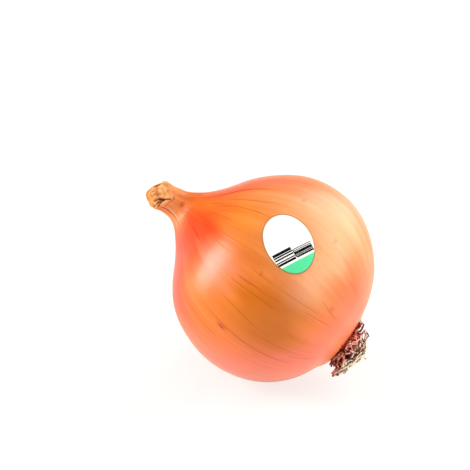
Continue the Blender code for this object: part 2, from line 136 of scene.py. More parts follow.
@dataclass(frozen=True)
class OnionForm:
    """The onion's surface: the sizes and formulas that its solids are made by."""

    bulb_r: float = 43.0 * MM
    root_reach: float = 38.5 * MM
    neck_reach: float = 40.65 * MM
    shoulder_z: float = 34.5 * MM
    plate_z: float = -37.3 * MM
    plate_recess: float = 0.9 * MM
    recess_r: float = 9.6 * MM
    crown_dip: float = 1.0 * MM
    crown_z: float = -34.3 * MM
    crown_width: float = 2.5 * MM
    shoulder_lean: float = 0.9 * MM
    shoulder_lean_z: float = 27.0 * MM
    shoulder_lean_width: float = 9.0 * MM
    base_lean: float = 1.0 * MM
    base_lean_depths: Pair = (5.0 * MM, 32.0 * MM)
    root_lean: float = 3.3 * MM
    root_lean_depths: Pair = (34.0 * MM, 38.0 * MM)
    neck_z: float = 51.4 * MM
    neck_r: float = 5.7 * MM
    neck_taper: float = -0.1
    neck_waist: float = 0.35 * MM
    neck_end_z: float = 59.0 * MM
    neck_shape_zs: Pair = (36.0 * MM, 52.0 * MM)
    bend_z: float = 43.0 * MM
    bend_angle: float = math.radians(36.0)
    cut_slope: float = 0.32
    notch_depth: float = 1.8 * MM
    notch_turn: float = math.radians(32.0)
    ragged: float = 0.7 * MM
    pleat: float = 0.035
    pleats: int = 9
    pleat_sway: float = 0.5
    front_lon: float = math.radians(-54.0)
    low_lon: float = math.radians(-144.0)
    bend_lon: float = math.radians(-72.0)
    cut_lon: float = math.radians(-32.0)
    notch_lon: float = math.radians(-40.0)
    axis_rise: float = math.radians(31.4)
    girth_centre: Triple = (3.242 * MM, 0.672 * MM, 41.516 * MM)
    girth_lobes: Rows = ((0.008, 2, 0.6), (0.005, 3, -1.1))
    neck_lobes: Rows = ((0.07, 2, low_lon), (0.035, 3, 0.4))
    cut_waves: Rows = ((0.7, 3, 0.5), (0.3, 7, 2.0))

    def ellipse_radius(self, z: Array, reach: float) -> Array:
        """Radius at height z of the half ellipse that reaches that far along the axis."""
        return self.bulb_r * np.sqrt(np.clip(1.0 - (z / reach) ** 2, 0.0, None))

    def shoulder_radius(self, z: Array) -> Array:
        """The hollow curve from the shoulder into the neck.

        Args:
            z: Heights between the shoulder and the neck.

        Returns:
            Radii on one cubic that keeps the slopes of both ends.
        """
        start_r = float(self.ellipse_radius(np.array(self.shoulder_z), self.neck_reach))
        start_slope = -(self.bulb_r**2) * self.shoulder_z / (self.neck_reach**2 * start_r)
        span = self.neck_z - self.shoulder_z
        t = np.clip((z - self.shoulder_z) / span, 0.0, 1.0)
        start_share = 2 * t**3 - 3 * t**2 + 1
        along_start = (t**3 - 2 * t**2 + t) * span * start_slope
        along_end = (t**3 - t**2) * span * self.neck_taper
        return start_share * start_r + along_start + (1 - start_share) * self.neck_r + along_end

    def profile_radius(self, z: Array) -> Array:
        """The skin's mean radius at height z.

        Args:
            z: Heights along the axis.

        Returns:
            The radius at each height.
        """
        dip = self.crown_dip * bump(z, self.crown_z, self.crown_width)
        below = self.ellipse_radius(z, self.root_reach) - dip
        above = self.ellipse_radius(z, self.neck_reach)
        share = np.clip((z - self.neck_z) / (self.neck_end_z - self.neck_z), 0.0, 1.0)
        neck = self.neck_r - self.neck_waist * np.sin(math.pi * share)
        stretches = [z < 0, z < self.shoulder_z, z < self.neck_z]
        return np.select(stretches, [below, above, self.shoulder_radius(z)], neck)

    def swell(self, z: Array, lon: Array) -> Array:
        """The onion's unevenness, as a factor on the radius.

        Args:
            z: Heights along the axis.
            lon: Longitudes round it.

        Returns:
            A lobed girth on the bulb, and a squashed and pleated neck.
        """
        folds = np.abs(np.cos(0.5 * self.pleats * lon + self.pleat_sway * np.sin(2 * lon))) - 0.5
        neck = lobes(lon, self.neck_lobes) + self.pleat * folds
        neck_share = smooth_step(z, *self.neck_shape_zs)
        return 1.0 + (1.0 - neck_share) * lobes(lon, self.girth_lobes) + neck_share * neck

    def skin_radius(self, z: Array, lon: Array) -> Array:
        """How far the skin lies from the onion's bent axis."""
        return self.profile_radius(z) * self.swell(z, lon)

    def lean(self, z: Array) -> Array:
        """How far the girth at height z sits off the axis, towards the low side."""
        shoulder = self.shoulder_lean * bump(z, self.shoulder_lean_z, self.shoulder_lean_width)
        base = self.base_lean * smooth_step(-z, *self.base_lean_depths)
        return shoulder + base + self.root_lean * smooth_step(-z, *self.root_lean_depths)

    def ring_point(self, z: Array, radius: Array, lon: Array) -> Array:
        """Points at those radii round the onion's bent axis.

        Args:
            z: Heights along the axis.
            radius: Distances from it.
            lon: Longitudes round it.

        Returns:
            Points in the onion's own frame, one row each.
        """
        curve_r = (self.neck_end_z - self.bend_z) / self.bend_angle
        angle = np.maximum(0.0, z - self.bend_z) / curve_r
        side, low = towards(self.bend_lon), towards(self.low_lon)
        up = np.array([0.0, 0.0, 1.0])
        spoke = radius[..., None] * towards(lon)
        off_side = (spoke @ side)[..., None]
        cos, sin = np.cos(angle)[..., None], np.sin(angle)[..., None]
        lean = np.where(z <= self.bend_z, self.lean(z), 0.0)[..., None] * low
        height = np.minimum(z, self.bend_z)[..., None] * up
        centre = height + lean + curve_r * (sin * up + (1.0 - cos) * side)
        return centre + spoke + off_side * ((cos - 1.0) * side - sin * up)

    def skin_point(self, z: Array, lon: Array, outwards: float = 0.0) -> Array:
        """Points on the skin, or that far outside it."""
        return self.ring_point(z, self.skin_radius(z, lon) + outwards, lon)

    def cut_height(self, radius: Array, lon: Array) -> Array:
        """How far the cut across the neck lies from its mean height.

        Args:
            radius: Distances from the axis.
            lon: Longitudes round it.

        Returns:
            Heights of an oblique, ragged cut that runs out over the neck's front in a notch.
        """
        notch = bump(turn_apart(lon, self.notch_lon), 0.0, self.notch_turn)
        notch = self.notch_depth * notch * (radius / self.neck_r) ** 2
        slope = self.cut_slope * radius * np.cos(lon - self.cut_lon)
        return self.ragged * waves(lon, self.cut_waves) - slope - notch

    def placement(self) -> Matrix:
        """How the onion's own frame lies in the world."""
        tip = Matrix.Rotation(self.axis_rise - math.pi / 2, 4, "Y")
        return Matrix.Translation(Vector(self.girth_centre)) @ tip

    def laid_down(self, points: Array) -> Array:
        """The points moved from the onion's own frame to where it lies."""
        place = np.array(self.placement())
        return points @ place[:3, :3].T + place[:3, 3]

    def stood_up(self, points: Array) -> Array:
        """The points moved from where the onion lies back to its own frame."""
        place = np.array(self.placement())
        return (points - place[:3, 3]) @ place[:3, :3]

    def meridian(self, z: Array, lon: Array) -> Array:
        """Cosine and sine of the longitude, and the share of the way from root to neck."""
        share = (z - self.plate_z) / (self.neck_end_z - self.plate_z)
        return np.stack([np.cos(lon), np.sin(lon), share], axis=-1)


FORM = OnionForm()


def feed(tree: Tree, node: Node, inputs: dict) -> None:
    """Give a node its inputs.

    Args:
        tree: The node tree.
        node: The node.
        inputs: For each input, by name or number, a value or the socket that feeds it.
    """
    for key, value in inputs.items():
        if isinstance(value, Socket):
            tree.links.new(value, node.inputs[key])
        else:
            node.inputs[key].default_value = value


def add_node(tree: Tree, kind: str, inputs: dict | None = None, **settings: object) -> Node:
    """Add a node to a tree, with its settings, values and links.

    Args:
        tree: The node tree.
        kind: The node's type.
        inputs: For each input, by name or number, a value or the socket that feeds it.
        settings: The node's own properties.

    Returns:
        The new node.
    """
    node = tree.nodes.new(kind)
    for name, value in settings.items():
        setattr(node, name, value)
    feed(tree, node, inputs or {})
    return node


def grain_scale(size: float) -> Triple:
    """The noise scale on an object's own coordinate that makes grain of that size in mm."""
    return (1.0 / (size * MM),) * 3


def streak_scale(width: float, length: float) -> Triple:
    """The noise scale on the skin's coordinate that makes streaks of a real size.

    Args:
        width: How wide they are at the girth, in mm. Towards both ends they narrow with the onion.
        length: How long they are from root to neck, in mm.

    Returns:
        The scale each way. One unit of the coordinate is the girth's radius, and the whole length.
    """
    turns = FORM.bulb_r / (width * MM)
    return turns, turns, (FORM.neck_end_z - FORM.plate_z) / (length * MM)


def noise(
    tree: Tree,
    where: Socket,
    scale: Triple,
    detail: float = 2.0,
    shift: Triple = (0.0, 0.0, 0.0),
) -> Socket:
    """Noise on a coordinate that is stretched by a different amount each way.

    Args:
        tree: The node tree.
        where: The coordinate.
        scale: How many features fit in one unit, each way.
        detail: Octaves of finer noise.
        shift: Moves the pattern, so that two noises differ.

    Returns:
        The noise's value, about 0.5 on average.
    """
    stretch = {"Vector": where, "Scale": scale, "Location": shift}
    mapped = add_node(tree, "ShaderNodeMapping", stretch).outputs[0]
    pattern = {"Vector": mapped, "Scale": 1.0, "Detail": detail}
    return add_node(tree, "ShaderNodeTexNoise", pattern).outputs[0]


def to_range(
    tree: Tree,
    value: Socket,
    source: Pair,
    target: Pair = (0.0, 1.0),
) -> Socket:
    """A value carried smoothly over from one range to another, and held inside it."""
    inputs = {0: value, 1: source[0], 2: source[1], 3: target[0], 4: target[1]}
    return add_node(tree, "ShaderNodeMapRange", inputs, interpolation_type="SMOOTHSTEP").outputs[0]


def maths(tree: Tree, operation: str, first: object, second: object = 0.0) -> Socket:
    """One sum on two values or sockets."""
    return add_node(tree, "ShaderNodeMath", {0: first, 1: second}, operation=operation).outputs[0]


def between(tree: Tree, value: Socket, low: float, high: float) -> Socket:
    """1 where the value lies between two bounds, and 0 elsewhere."""
    inputs = {0: value, 1: 0.5 * (low + high), 2: 0.5 * (high - low)}
    return add_node(tree, "ShaderNodeMath", inputs, operation="COMPARE").outputs[0]


def layered(tree: Tree, ground: str, layers: list[tuple[Socket, object, str]]) -> Socket:
    """Colours laid over each other.

    Args:
        tree: The node tree.
        ground: Hex code of the lowest colour.
        layers: For each colour above it, the socket that says where it lies, how much it covers
            there, as a number or a socket, and its hex code.

    Returns:
        The resulting colour.
    """
    colour: object = linear(ground)
    for where, strength, code in layers:
        cover = maths(tree, "MULTIPLY", where, strength)
        inputs = {MIX_FACTOR: cover, MIX_A: colour, MIX_B: linear(code)}
        colour = add_node(tree, "ShaderNodeMix", inputs, data_type="RGBA").outputs[MIX_RESULT]
    return colour


def attribute(tree: Tree, name: str, output: str = "Fac") -> Socket:
    """The socket of a value that the mesh's points carry."""
    return add_node(tree, "ShaderNodeAttribute", attribute_name=name).outputs[output]


def own_place(tree: Tree) -> Socket:
    """The socket of the object's own coordinate, in metres."""
    return add_node(tree, "ShaderNodeTexCoord").outputs["Object"]


def new_material(name: str) -> tuple[Material, Tree, Node]:
    """A new material, its node tree and its Principled shader."""
    material = bpy.data.materials.new(name)
    material.use_nodes = True
    tree = material.node_tree
    return material, tree, tree.nodes["Principled BSDF"]


@dataclass(frozen=True)
class Finish:
    """What every finish has: how rough and how glossy it is, and how deep its fine relief."""

    roughness: float = 0.5
    specular: float = 0.15
    relief_depth: float = 0.1 * MM
    relief_strength: float = 0.5

    def dress(self, tree: Tree, shader: Node, colour: Socket, height: Socket) -> None:
        """Give a shader this finish, with that colour and relief."""
        relief = {"Strength": self.relief_strength, "Distance": self.relief_depth, "Height": height}
        feed(tree, shader, {
            "Base Color": colour,
            "Normal": add_node(tree, "ShaderNodeBump", relief).outputs[0],
            "Roughness": self.roughness,
            "Specular IOR Level": self.specular,
        })


@dataclass(frozen=True)
class OnionSkin(Finish):
    """Dry outer scale of a yellow onion: grown, cured in the field and rubbed clean.

    Curing leaves it as thin as paper and slightly waxed, so it has a soft, broad gloss. Its veins
    run from root to neck as fine dark lines, and the flesh shows through in creamy and pinkish
    tones.
    Some tints are painted light: creamy painted highlights where the lamps shine, pinkish painted
    reflection on the rims and the low side, and painted shade in the darker brownish patches on the
    front and in the red ones round the neck's base.
    """

    golden: str = "#e8801e"
    amber: str = "#ce6412"
    # darker tone: real on the back, painted shade on the front where the lamps do not reach
    bronze_and_shade: str = "#c6660a"
    pale: str = "#f0923a"
    vein: str = "#982c06"
    # creamy tone, and painted highlights where the lamps shine on the skin
    cream_and_highlight: str = "#f4b282"
    # red tone; round the neck's base and on the low rim it is painted shade
    red: str = "#ec360e"
    # pinkish tone, much of it painted reflection: floor light on the low side, pale rims, a
    # highlight
    pink_and_reflection: str = "#f37662"
    tan: str = "#ee9452"
    flame: str = "#d84c34"
    stain: str = "#982c1a"
    speck: str = "#8a3c14"
    mark: str = "#a82404"
    straw: str = "#f6c086"
    roughness: float = 0.35
    dry_roughness: float = 0.62
    specular: float = 0.27
    dry_specular: float = 0.08
    coat: float = 0.1
    coat_roughness: float = 0.2
    scatter: float = 0.12
    scatter_radii: Triple = (4.0 * MM, 1.6 * MM, 0.8 * MM)
    scatter_dry: Pair = (0.0, 0.3)
    relief_depth: float = 0.12 * MM
    relief_strength: float = 0.35
    vein_height: float = 1.2
    vein_shares: Pair = (0.35, 0.08)
    speck_apart: float = 11.76 * MM
    stain_starts: Pair = (1.42, 1.5)
    stain_step: float = 0.16

    def build(self, name: str, darker: float = 0.0) -> Material:
        """Build the material.

        Args:
            name: The material's name.
            darker: How much of the vein's colour covers everything, for the veins themselves.

        Returns:
            The material. It reads the values that the skin's points carry.
        """
        material, tree, shader = new_material(name)
        along = attribute(tree, "meridian", "Vector")
        cream_and_highlight, dry = attribute(tree, "cream_and_highlight"), attribute(tree, "dry")
        blotch = noise(tree, along, streak_scale(16.54, 32.1), 3.0, (2.0, 5.0, 1.0))
        broad = noise(tree, along, streak_scale(4.778, 87.55), 3.0)
        fine = noise(tree, along, streak_scale(1.075, 43.77), 2.0, (3.0, 1.0, 0.0))
        fine = to_range(tree, fine, (0.35, 0.75))
        lines = self.vein_lines(tree, along)
        layers = [
            (to_range(tree, blotch, (0.4, 0.58)), 0.65, self.amber),
            (to_range(tree, broad, (0.45, 0.7)), 0.4, self.pale),
            # creamy tone and painted highlights
            (cream_and_highlight, 0.8, self.cream_and_highlight),
            # pinkish tone and painted reflection
            (attribute(tree, "pink_and_reflection"), 0.8, self.pink_and_reflection),
            # darker tone and painted shade
            (attribute(tree, "bronze_and_shade"), 0.85, self.bronze_and_shade),
            # red tone, and painted shade round the neck's base
            (attribute(tree, "red"), 0.9, self.red),
            (fine, 0.16, self.amber),
            (self.dried(tree, along), dry, self.tan),
            (self.frayed(tree, along, 0.0), 1.0, self.straw),
            (self.frayed(tree, along, 7.0), 0.8, self.mark),
            (attribute(tree, "mark"), 1.0, self.mark),
            (lines, to_range(tree, cream_and_highlight, (0.1, 0.7), self.vein_shares), self.vein),
            (self.specks(tree), 0.6, self.speck),
            (self.root_stain(tree, along, 0.0), 0.9, self.flame),
            (self.root_stain(tree, along, self.stain_step), 0.9, self.stain),
        ]
        if darker:
            layers.append((attribute(tree, "cover"), darker, self.vein))
        height = maths(tree, "ADD", fine, maths(tree, "MULTIPLY", lines, self.vein_height))
        scatter = to_range(tree, dry, self.scatter_dry, (self.scatter, 0.0))
        self.dress(tree, shader, layered(tree, self.golden, layers), height)
        feed(tree, shader, {
            "Roughness": to_range(tree, dry, (0.0, 1.0), (self.roughness, self.dry_roughness)),
            "Specular IOR Level": self.dry_specular if darker else self.specular,
            "Coat Weight": 0.0 if darker else self.coat,
            "Coat Roughness": self.coat_roughness,
            "Subsurface Weight": 0.0 if darker else scatter,
            "Subsurface Radius": self.scatter_radii,
            "Subsurface Scale": 1.0,
        })
        return material

    def vein_lines(self, tree: Tree, along: Socket) -> Socket:
        """Fine lines from root to neck: the level curves of a noise that is stretched that way.

        Args:
            tree: The node tree.
            along: The skin's own coordinate.

        Returns:
            1 on a line and 0 beside it.
        """
        ground = noise(tree, along, streak_scale(6.143, 214.0), 1.0, (5.0, 2.0, 1.0))
        away = maths(tree, "ABSOLUTE", maths(tree, "SUBTRACT", ground, 0.5))
        line = to_range(tree, away, (0.004, 0.012), (1.0, 0.0))
        shown = to_range(tree, noise(tree, along, streak_scale(3.909, 19.26), 1.0), (0.48, 0.62))
        return maths(tree, "MULTIPLY", line, shown)

    def dried(self, tree: Tree, along: Socket) -> Socket:
        """The streaks in which the neck has dried to tan."""
        streak = noise(tree, along, streak_scale(3.308, 16.05), 3.0)
        return to_range(tree, streak, (0.3, 0.7), (0.55, 1.0))

    def frayed(self, tree: Tree, along: Socket, shift: float) -> Socket:
        """Narrow streaks down the neck's low side, where the dried skin frays.

        Args:
            tree: The node tree.
            along: The skin's own coordinate.
            shift: Moves the streaks, so that two sets differ.

        Returns:
            1 on a streak and 0 beside it.
        """
        streak = noise(tree, along, streak_scale(1.955, 16.05), 3.0, (shift, 2.0, 3.0))
        return maths(tree, "MULTIPLY", to_range(tree, streak, (0.5, 0.58)), attribute(tree, "fray"))

    def specks(self, tree: Tree) -> Socket:
        """A few small brown specks, each less than 1 mm across, with most places left empty."""
        where = own_place(tree)
        spread = {"Vector": where, "Scale": 1.0 / self.speck_apart}
        away = add_node(tree, "ShaderNodeTexVoronoi", spread).outputs["Distance"]
        few = to_range(tree, noise(tree, where, grain_scale(9.091), 0.0), (0.5, 0.6))
        return maths(tree, "MULTIPLY", to_range(tree, away, (0.02, 0.05), (1.0, 0.0)), few)

    def root_stain(self, tree: Tree, along: Socket, short: float) -> Socket:
        """The stain round the root plate, running out over the skin in pointed streaks.

        Args:
            tree: The node tree.
            along: The skin's own coordinate.
            short: How much less far the streaks run.

        Returns:
            1 on the stain and 0 outside it.
        """
        streak = noise(tree, along, streak_scale(3.308, 19.26), 4.0, (1.0, 4.0, 2.0))
        reach = maths(tree, "ADD", attribute(tree, "stain"), maths(tree, "MULTIPLY", streak, 1.5))
        return to_range(tree, reach, tuple(start + short for start in self.stain_starts))


@dataclass(frozen=True)
class DrySheath(Finish):
    """Dried inner leaf sheaths of the neck: cut across with the tops, then left to dry.

    The cut weathers to a matt straw colour, mottled with brown. Brown down its folds and cracks,
    and along the plug's sides, is painted shade.
    """

    straw: str = "#d88e50"
    pale: str = "#e2a870"
    # brown of the mottling, and of the painted shade in the folds
    brown: str = "#6e2406"
    roughness: float = 0.72
    relief_depth: float = 0.15 * MM

    def build(self) -> Material:
        """Build the material, which paints shade in brown by how deep each point lies in a fold."""
        material, tree, shader = new_material("dry_sheath_fibre")
        where = own_place(tree)
        mottle = noise(tree, where, grain_scale(1.111), 3.0)
        broad = noise(tree, where, grain_scale(3.846), 1.0)
        layers = [
            (to_range(tree, broad, (0.4, 0.65)), 0.7, self.pale),
            (to_range(tree, mottle, (0.56, 0.72)), 0.45, self.brown),
            # painted shade: brown down the folds and cracks and along the plug's sides
            (to_range(tree, attribute(tree, "fold_shade"), (0.25, 0.8)), 1.0, self.brown),
        ]
        self.dress(tree, shader, layered(tree, self.straw, layers), mottle)
        return material


@dataclass(frozen=True)
class DryRoot(Finish):
    """Dried roots on their woody plate: matt fibre, red-brown at the plate and bleached to straw.

    The skin round each root dries to a thin cracked film, so its colour breaks up along the root.
    Strands deep inside the nest are darkened to brown as painted shade.
    """

    dark: str = "#7c2014"
    rose: str = "#d8604c"
    tan: str = "#84502e"
    pale: str = "#f6b8a0"
    straw: str = "#fff0d6"
    # brown of the dark strands and the broken film, and of the painted shade inside the nest
    brown: str = "#341008"
    roughness: float = 0.78
    specular: float = 0.12

    def build(self) -> Material:
        """Build the material, which reads each root's number and how deep and far in it lies."""
        material, tree, shader = new_material("dry_root_fibre")
        broken = noise(tree, own_place(tree), grain_scale(1.613), 3.0)
        strand = attribute(tree, "strand")
        deep = to_range(tree, attribute(tree, "depth"), (0.36, 0.74))
        layers = [
            (deep, 0.9, self.tan),
            (to_range(tree, strand, (0.3, 0.55)), maths(tree, "SUBTRACT", 1.0, deep), self.rose),
            (to_range(tree, strand, (0.72, 0.8)), 0.85, self.pale),
            (to_range(tree, strand, (0.46, 0.54)), deep, self.straw),
            (to_range(tree, strand, (0.18, 0.28), (1.0, 0.0)), 0.9, self.brown),
            (to_range(tree, broken, (0.55, 0.6)), 0.9, self.brown),
            # painted shade: strands deep inside the nest darkened to brown
            (attribute(tree, "nest_shade"), deep, self.brown),
        ]
        self.dress(tree, shader, layered(tree, self.dark, layers), broken)
        return material


@dataclass(frozen=True)
class LabelFilm(Finish):
    """Printed produce label: white film, printed by rotary press, die-cut and lightly varnished.

    The film gives a clean satin white. The print is plain: two stacks of bars over a
    green foot with nothing on it. A thin brown line round the edge is painted shadow.
    """

    white: str = "#fbfbf7"
    ink: str = "#040404"
    green: str = "#58e09e"
    rim: str = "#f6daa0"
    # painted shadow, a thin brown line round the label's edge
    edge: str = "#8a5a34"
    roughness: float = 0.34
    specular: float = 0.08
    relief_depth: float = 0.05 * MM
    relief_strength: float = 0.15
    foot_top: float = -7.5 * MM
    foot_blur: float = 0.15 * MM
    # For each column its two edges, and the middle and thickness of its bars, in mm. The last one
    # is the divider
    columns: tuple[tuple[float, float, Rows], ...] = (
        (-8.6, -0.8, ((-2.1, 1.15), (-3.15, 0.62), (-4.15, 0.62), (-5.35, 0.5), (-6.3, 0.9))),
        (-0.3, 7.4, ((-3.1, 0.34), (-3.75, 0.34), (-4.7, 1.15), (-5.6, 0.42), (-6.3, 0.75))),
        (-0.7, -0.3, ((-4.6, 3.2),)),
    )

    def bars(self, tree: Tree, across: Socket, height: Socket) -> Socket:
        """The print's level bars.

        Args:
            tree: The node tree.
            across: How far across the label, in metres.
            height: Height on the label, in metres.

        Returns:
            1 inside a bar, and 0 outside.
        """
        shown: object = 0.0
        for left, right, rows in self.columns:
            column = between(tree, across, left * MM, right * MM)
            for middle, thickness in rows:
                half = 0.5 * thickness
                bar = between(tree, height, (middle - half) * MM, (middle + half) * MM)
                shown = maths(tree, "MAXIMUM", shown, maths(tree, "MULTIPLY", column, bar))
        return shown

    def build(self) -> Material:
        """Build the material, which reads the label's own flat coordinate in metres."""
        material, tree, shader = new_material("label_film")
        flat = add_node(tree, "ShaderNodeSeparateXYZ", {0: attribute(tree, "flat", "Vector")})
        across, height, share = flat.outputs
        fibre = noise(tree, own_place(tree), grain_scale(2.0), 3.0)
        foot = to_range(tree, height, (self.foot_top - self.foot_blur, self.foot_top), (1.0, 0.0))
        layers = [
            (to_range(tree, share, (0.88, 0.97)), 0.6, self.rim),
            (foot, 1.0, self.green),
            (self.bars(tree, across, height), 1.0, self.ink),
            # painted shadow: a thin brown line at the label's edge
            (to_range(tree, share, (0.955, 0.985)), 0.9, self.edge),
            (to_range(tree, fibre, (0.5, 0.8)), 0.05, self.rim),
        ]
        self.dress(tree, shader, layered(tree, self.white, layers), fibre)
        return material


@dataclass(frozen=True)
class PaleFloor:
    """White acrylic light table: cast sheet, sanded matt and lit from below."""

    white: str = "#949492"
    shade: str = "#8c8c8a"
    lit: str = "#ffffff"
    roughness: float = 0.9
    glow: float = 0.7

    def build(self) -> Material:
        """Build the material."""
        material, tree, shader = new_material("lit_acrylic")
        tooth = noise(tree, own_place(tree), grain_scale(28.57), 2.0)
        layers = [(to_range(tree, tooth, (0.4, 0.7)), 1.0, self.shade)]
        feed(tree, shader, {
            "Base Color": layered(tree, self.white, layers),
            "Roughness": self.roughness,
            "Emission Color": linear(self.lit),
            "Emission Strength": self.glow,
        })
        return material


def add_object(name: str, data: bpy.types.ID) -> Object:
    """A new object of the scene, at the origin."""
    obj = bpy.data.objects.new(name, data)
    bpy.context.scene.collection.objects.link(obj)
    return obj


def add_mesh(name: str, points: Array, faces: list[tuple[int, ...]], material: Material) -> Object:
    """An object with a mesh whose faces point outwards, shaded smooth.

    Args:
        name: The object's name.
        points: The mesh's points in the world, one row each.
        faces: Tuples of point numbers.
        material: The finish.

    Returns:
        The new object, at the origin.
    """
    mesh = bpy.data.meshes.new(name)
    mesh.from_pydata(points.tolist(), [], faces)
    work = bmesh.new()
    work.from_mesh(mesh)
    bmesh.ops.recalc_face_normals(work, faces=work.faces)
    work.to_mesh(mesh)
    work.free()
    mesh.materials.append(material)
    mesh.shade_smooth()
    return add_object(name, mesh)


def own_points(obj: Object) -> Array:
    """The points of a piece's mesh in the onion's own frame."""
    return FORM.stood_up(np.array([vertex.co[:] for vertex in obj.data.vertices]))


def carry(obj: Object, name: str, values: Array) -> None:
    """Store a number or a vector on each point of an object's mesh.

    Args:
        obj: The object.
        name: The attribute's name.
        values: One number, or one row of three, for each point.
    """
    is_vector = values.ndim == 2
    kind, key = ("FLOAT_VECTOR", "vector") if is_vector else ("FLOAT", "value")
    layer = obj.data.attributes.new(name, kind, "POINT")
    layer.data.foreach_set(key, values.astype(np.float32).ravel())


def closed_surface(
    name: str,
    points: Array,
    values: dict[str, Array],
    material: Material,
) -> Object:
    """A closed piece made of rings, with a pole at each end.

    Args:
        name: The object's name.
        points: Rings by sides by three, in the onion's own frame.
        values: Numbers or vectors that the points carry, in the same layout.
        material: The finish.

    Returns:
        The new object.
    """
    rings, sides = points.shape[:2]
    poles = np.stack([points[0].mean(axis=0), points[-1].mean(axis=0)])
    flat = np.concatenate([points.reshape(-1, 3), poles])
    first, last = rings * sides, rings * sides + 1
    faces = []
    for row in range(rings - 1):
        low, high = row * sides, (row + 1) * sides
        for i in range(sides):
            j = (i + 1) % sides
            faces.append((low + i, low + j, high + j, high + i))
    for i in range(sides):
        j = (i + 1) % sides
        faces.append((j, i, first))
        faces.append(((rings - 1) * sides + i, (rings - 1) * sides + j, last))
    obj = add_mesh(name, FORM.laid_down(flat), faces, material)
    for key, value in values.items():
        ends = np.stack([value[0].mean(axis=0), value[-1].mean(axis=0)])
        flat_value = value.reshape((-1,) + value.shape[2:])
        carry(obj, key, np.concatenate([flat_value, ends]))
    return obj


def seat(obj: Object, node: str) -> None:
    """Let a finished piece ride on the onion in place of its solid, and report it.

    Args:
        obj: The piece.
        node: The solid that it stands for.
    """
    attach(obj, BODY)
    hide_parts(node)
    log.info("%s: %d faces, replaces %s", obj.name, len(obj.data.polygons), node)


@dataclass(frozen=True)
class Patch:
    """A soft patch of a tint on the skin: where it lies, how wide it is and how strong.

    Its middle and reach along the axis are in mm, its longitude and turn in degrees.
    """

    z: float
    lon: float
    reach: float
    turn: float
    strength: float
    streaks: Rows = ((1.0, 13, 1.0), (0.7, 29, 2.3), (0.5, 61, 0.0))
    streak_share: float = 0.14

    def amount(self, z: Array, lon: Array) -> Array:
        """How strong the patch is at those places of the skin, streaky along the meridians."""
        off_middle = turn_apart(lon, math.radians(self.lon))
        shifted = z + self.streak_share * self.reach * MM * waves(lon, self.streaks)
        across = bump(off_middle, 0.0, math.radians(self.turn))
        return self.strength * bump(shifted, self.z * MM, self.reach * MM) * across


@dataclass(frozen=True)
class Vein:
    """One distinct vein: its longitude in degrees, and its two ends and width in mm."""

    lon: float
    start: float
    end: float
    width: float = 0.4
    drift: float = 1.0
    points: int = 48
    height_share: float = 0.16

    def path(self, lowered: float) -> Array:
        """Points along the vein's middle, in the world.

        Args:
            lowered: How far a vein of no width would lie below the skin.

        Returns:
            Points that rise out of the skin where the vein starts and sink back where it ends.
        """
        t = np.linspace(0.0, 1.0, self.points)
        z = (self.start + (self.end - self.start) * t) * MM
        lon = math.radians(self.lon) + math.radians(self.drift) * np.sin(3.0 * t + self.start)
        shown = self.height_share * self.width * np.sin(math.pi * t) ** 0.4 * MM
        return FORM.laid_down(FORM.skin_point(z, lon, shown - lowered))


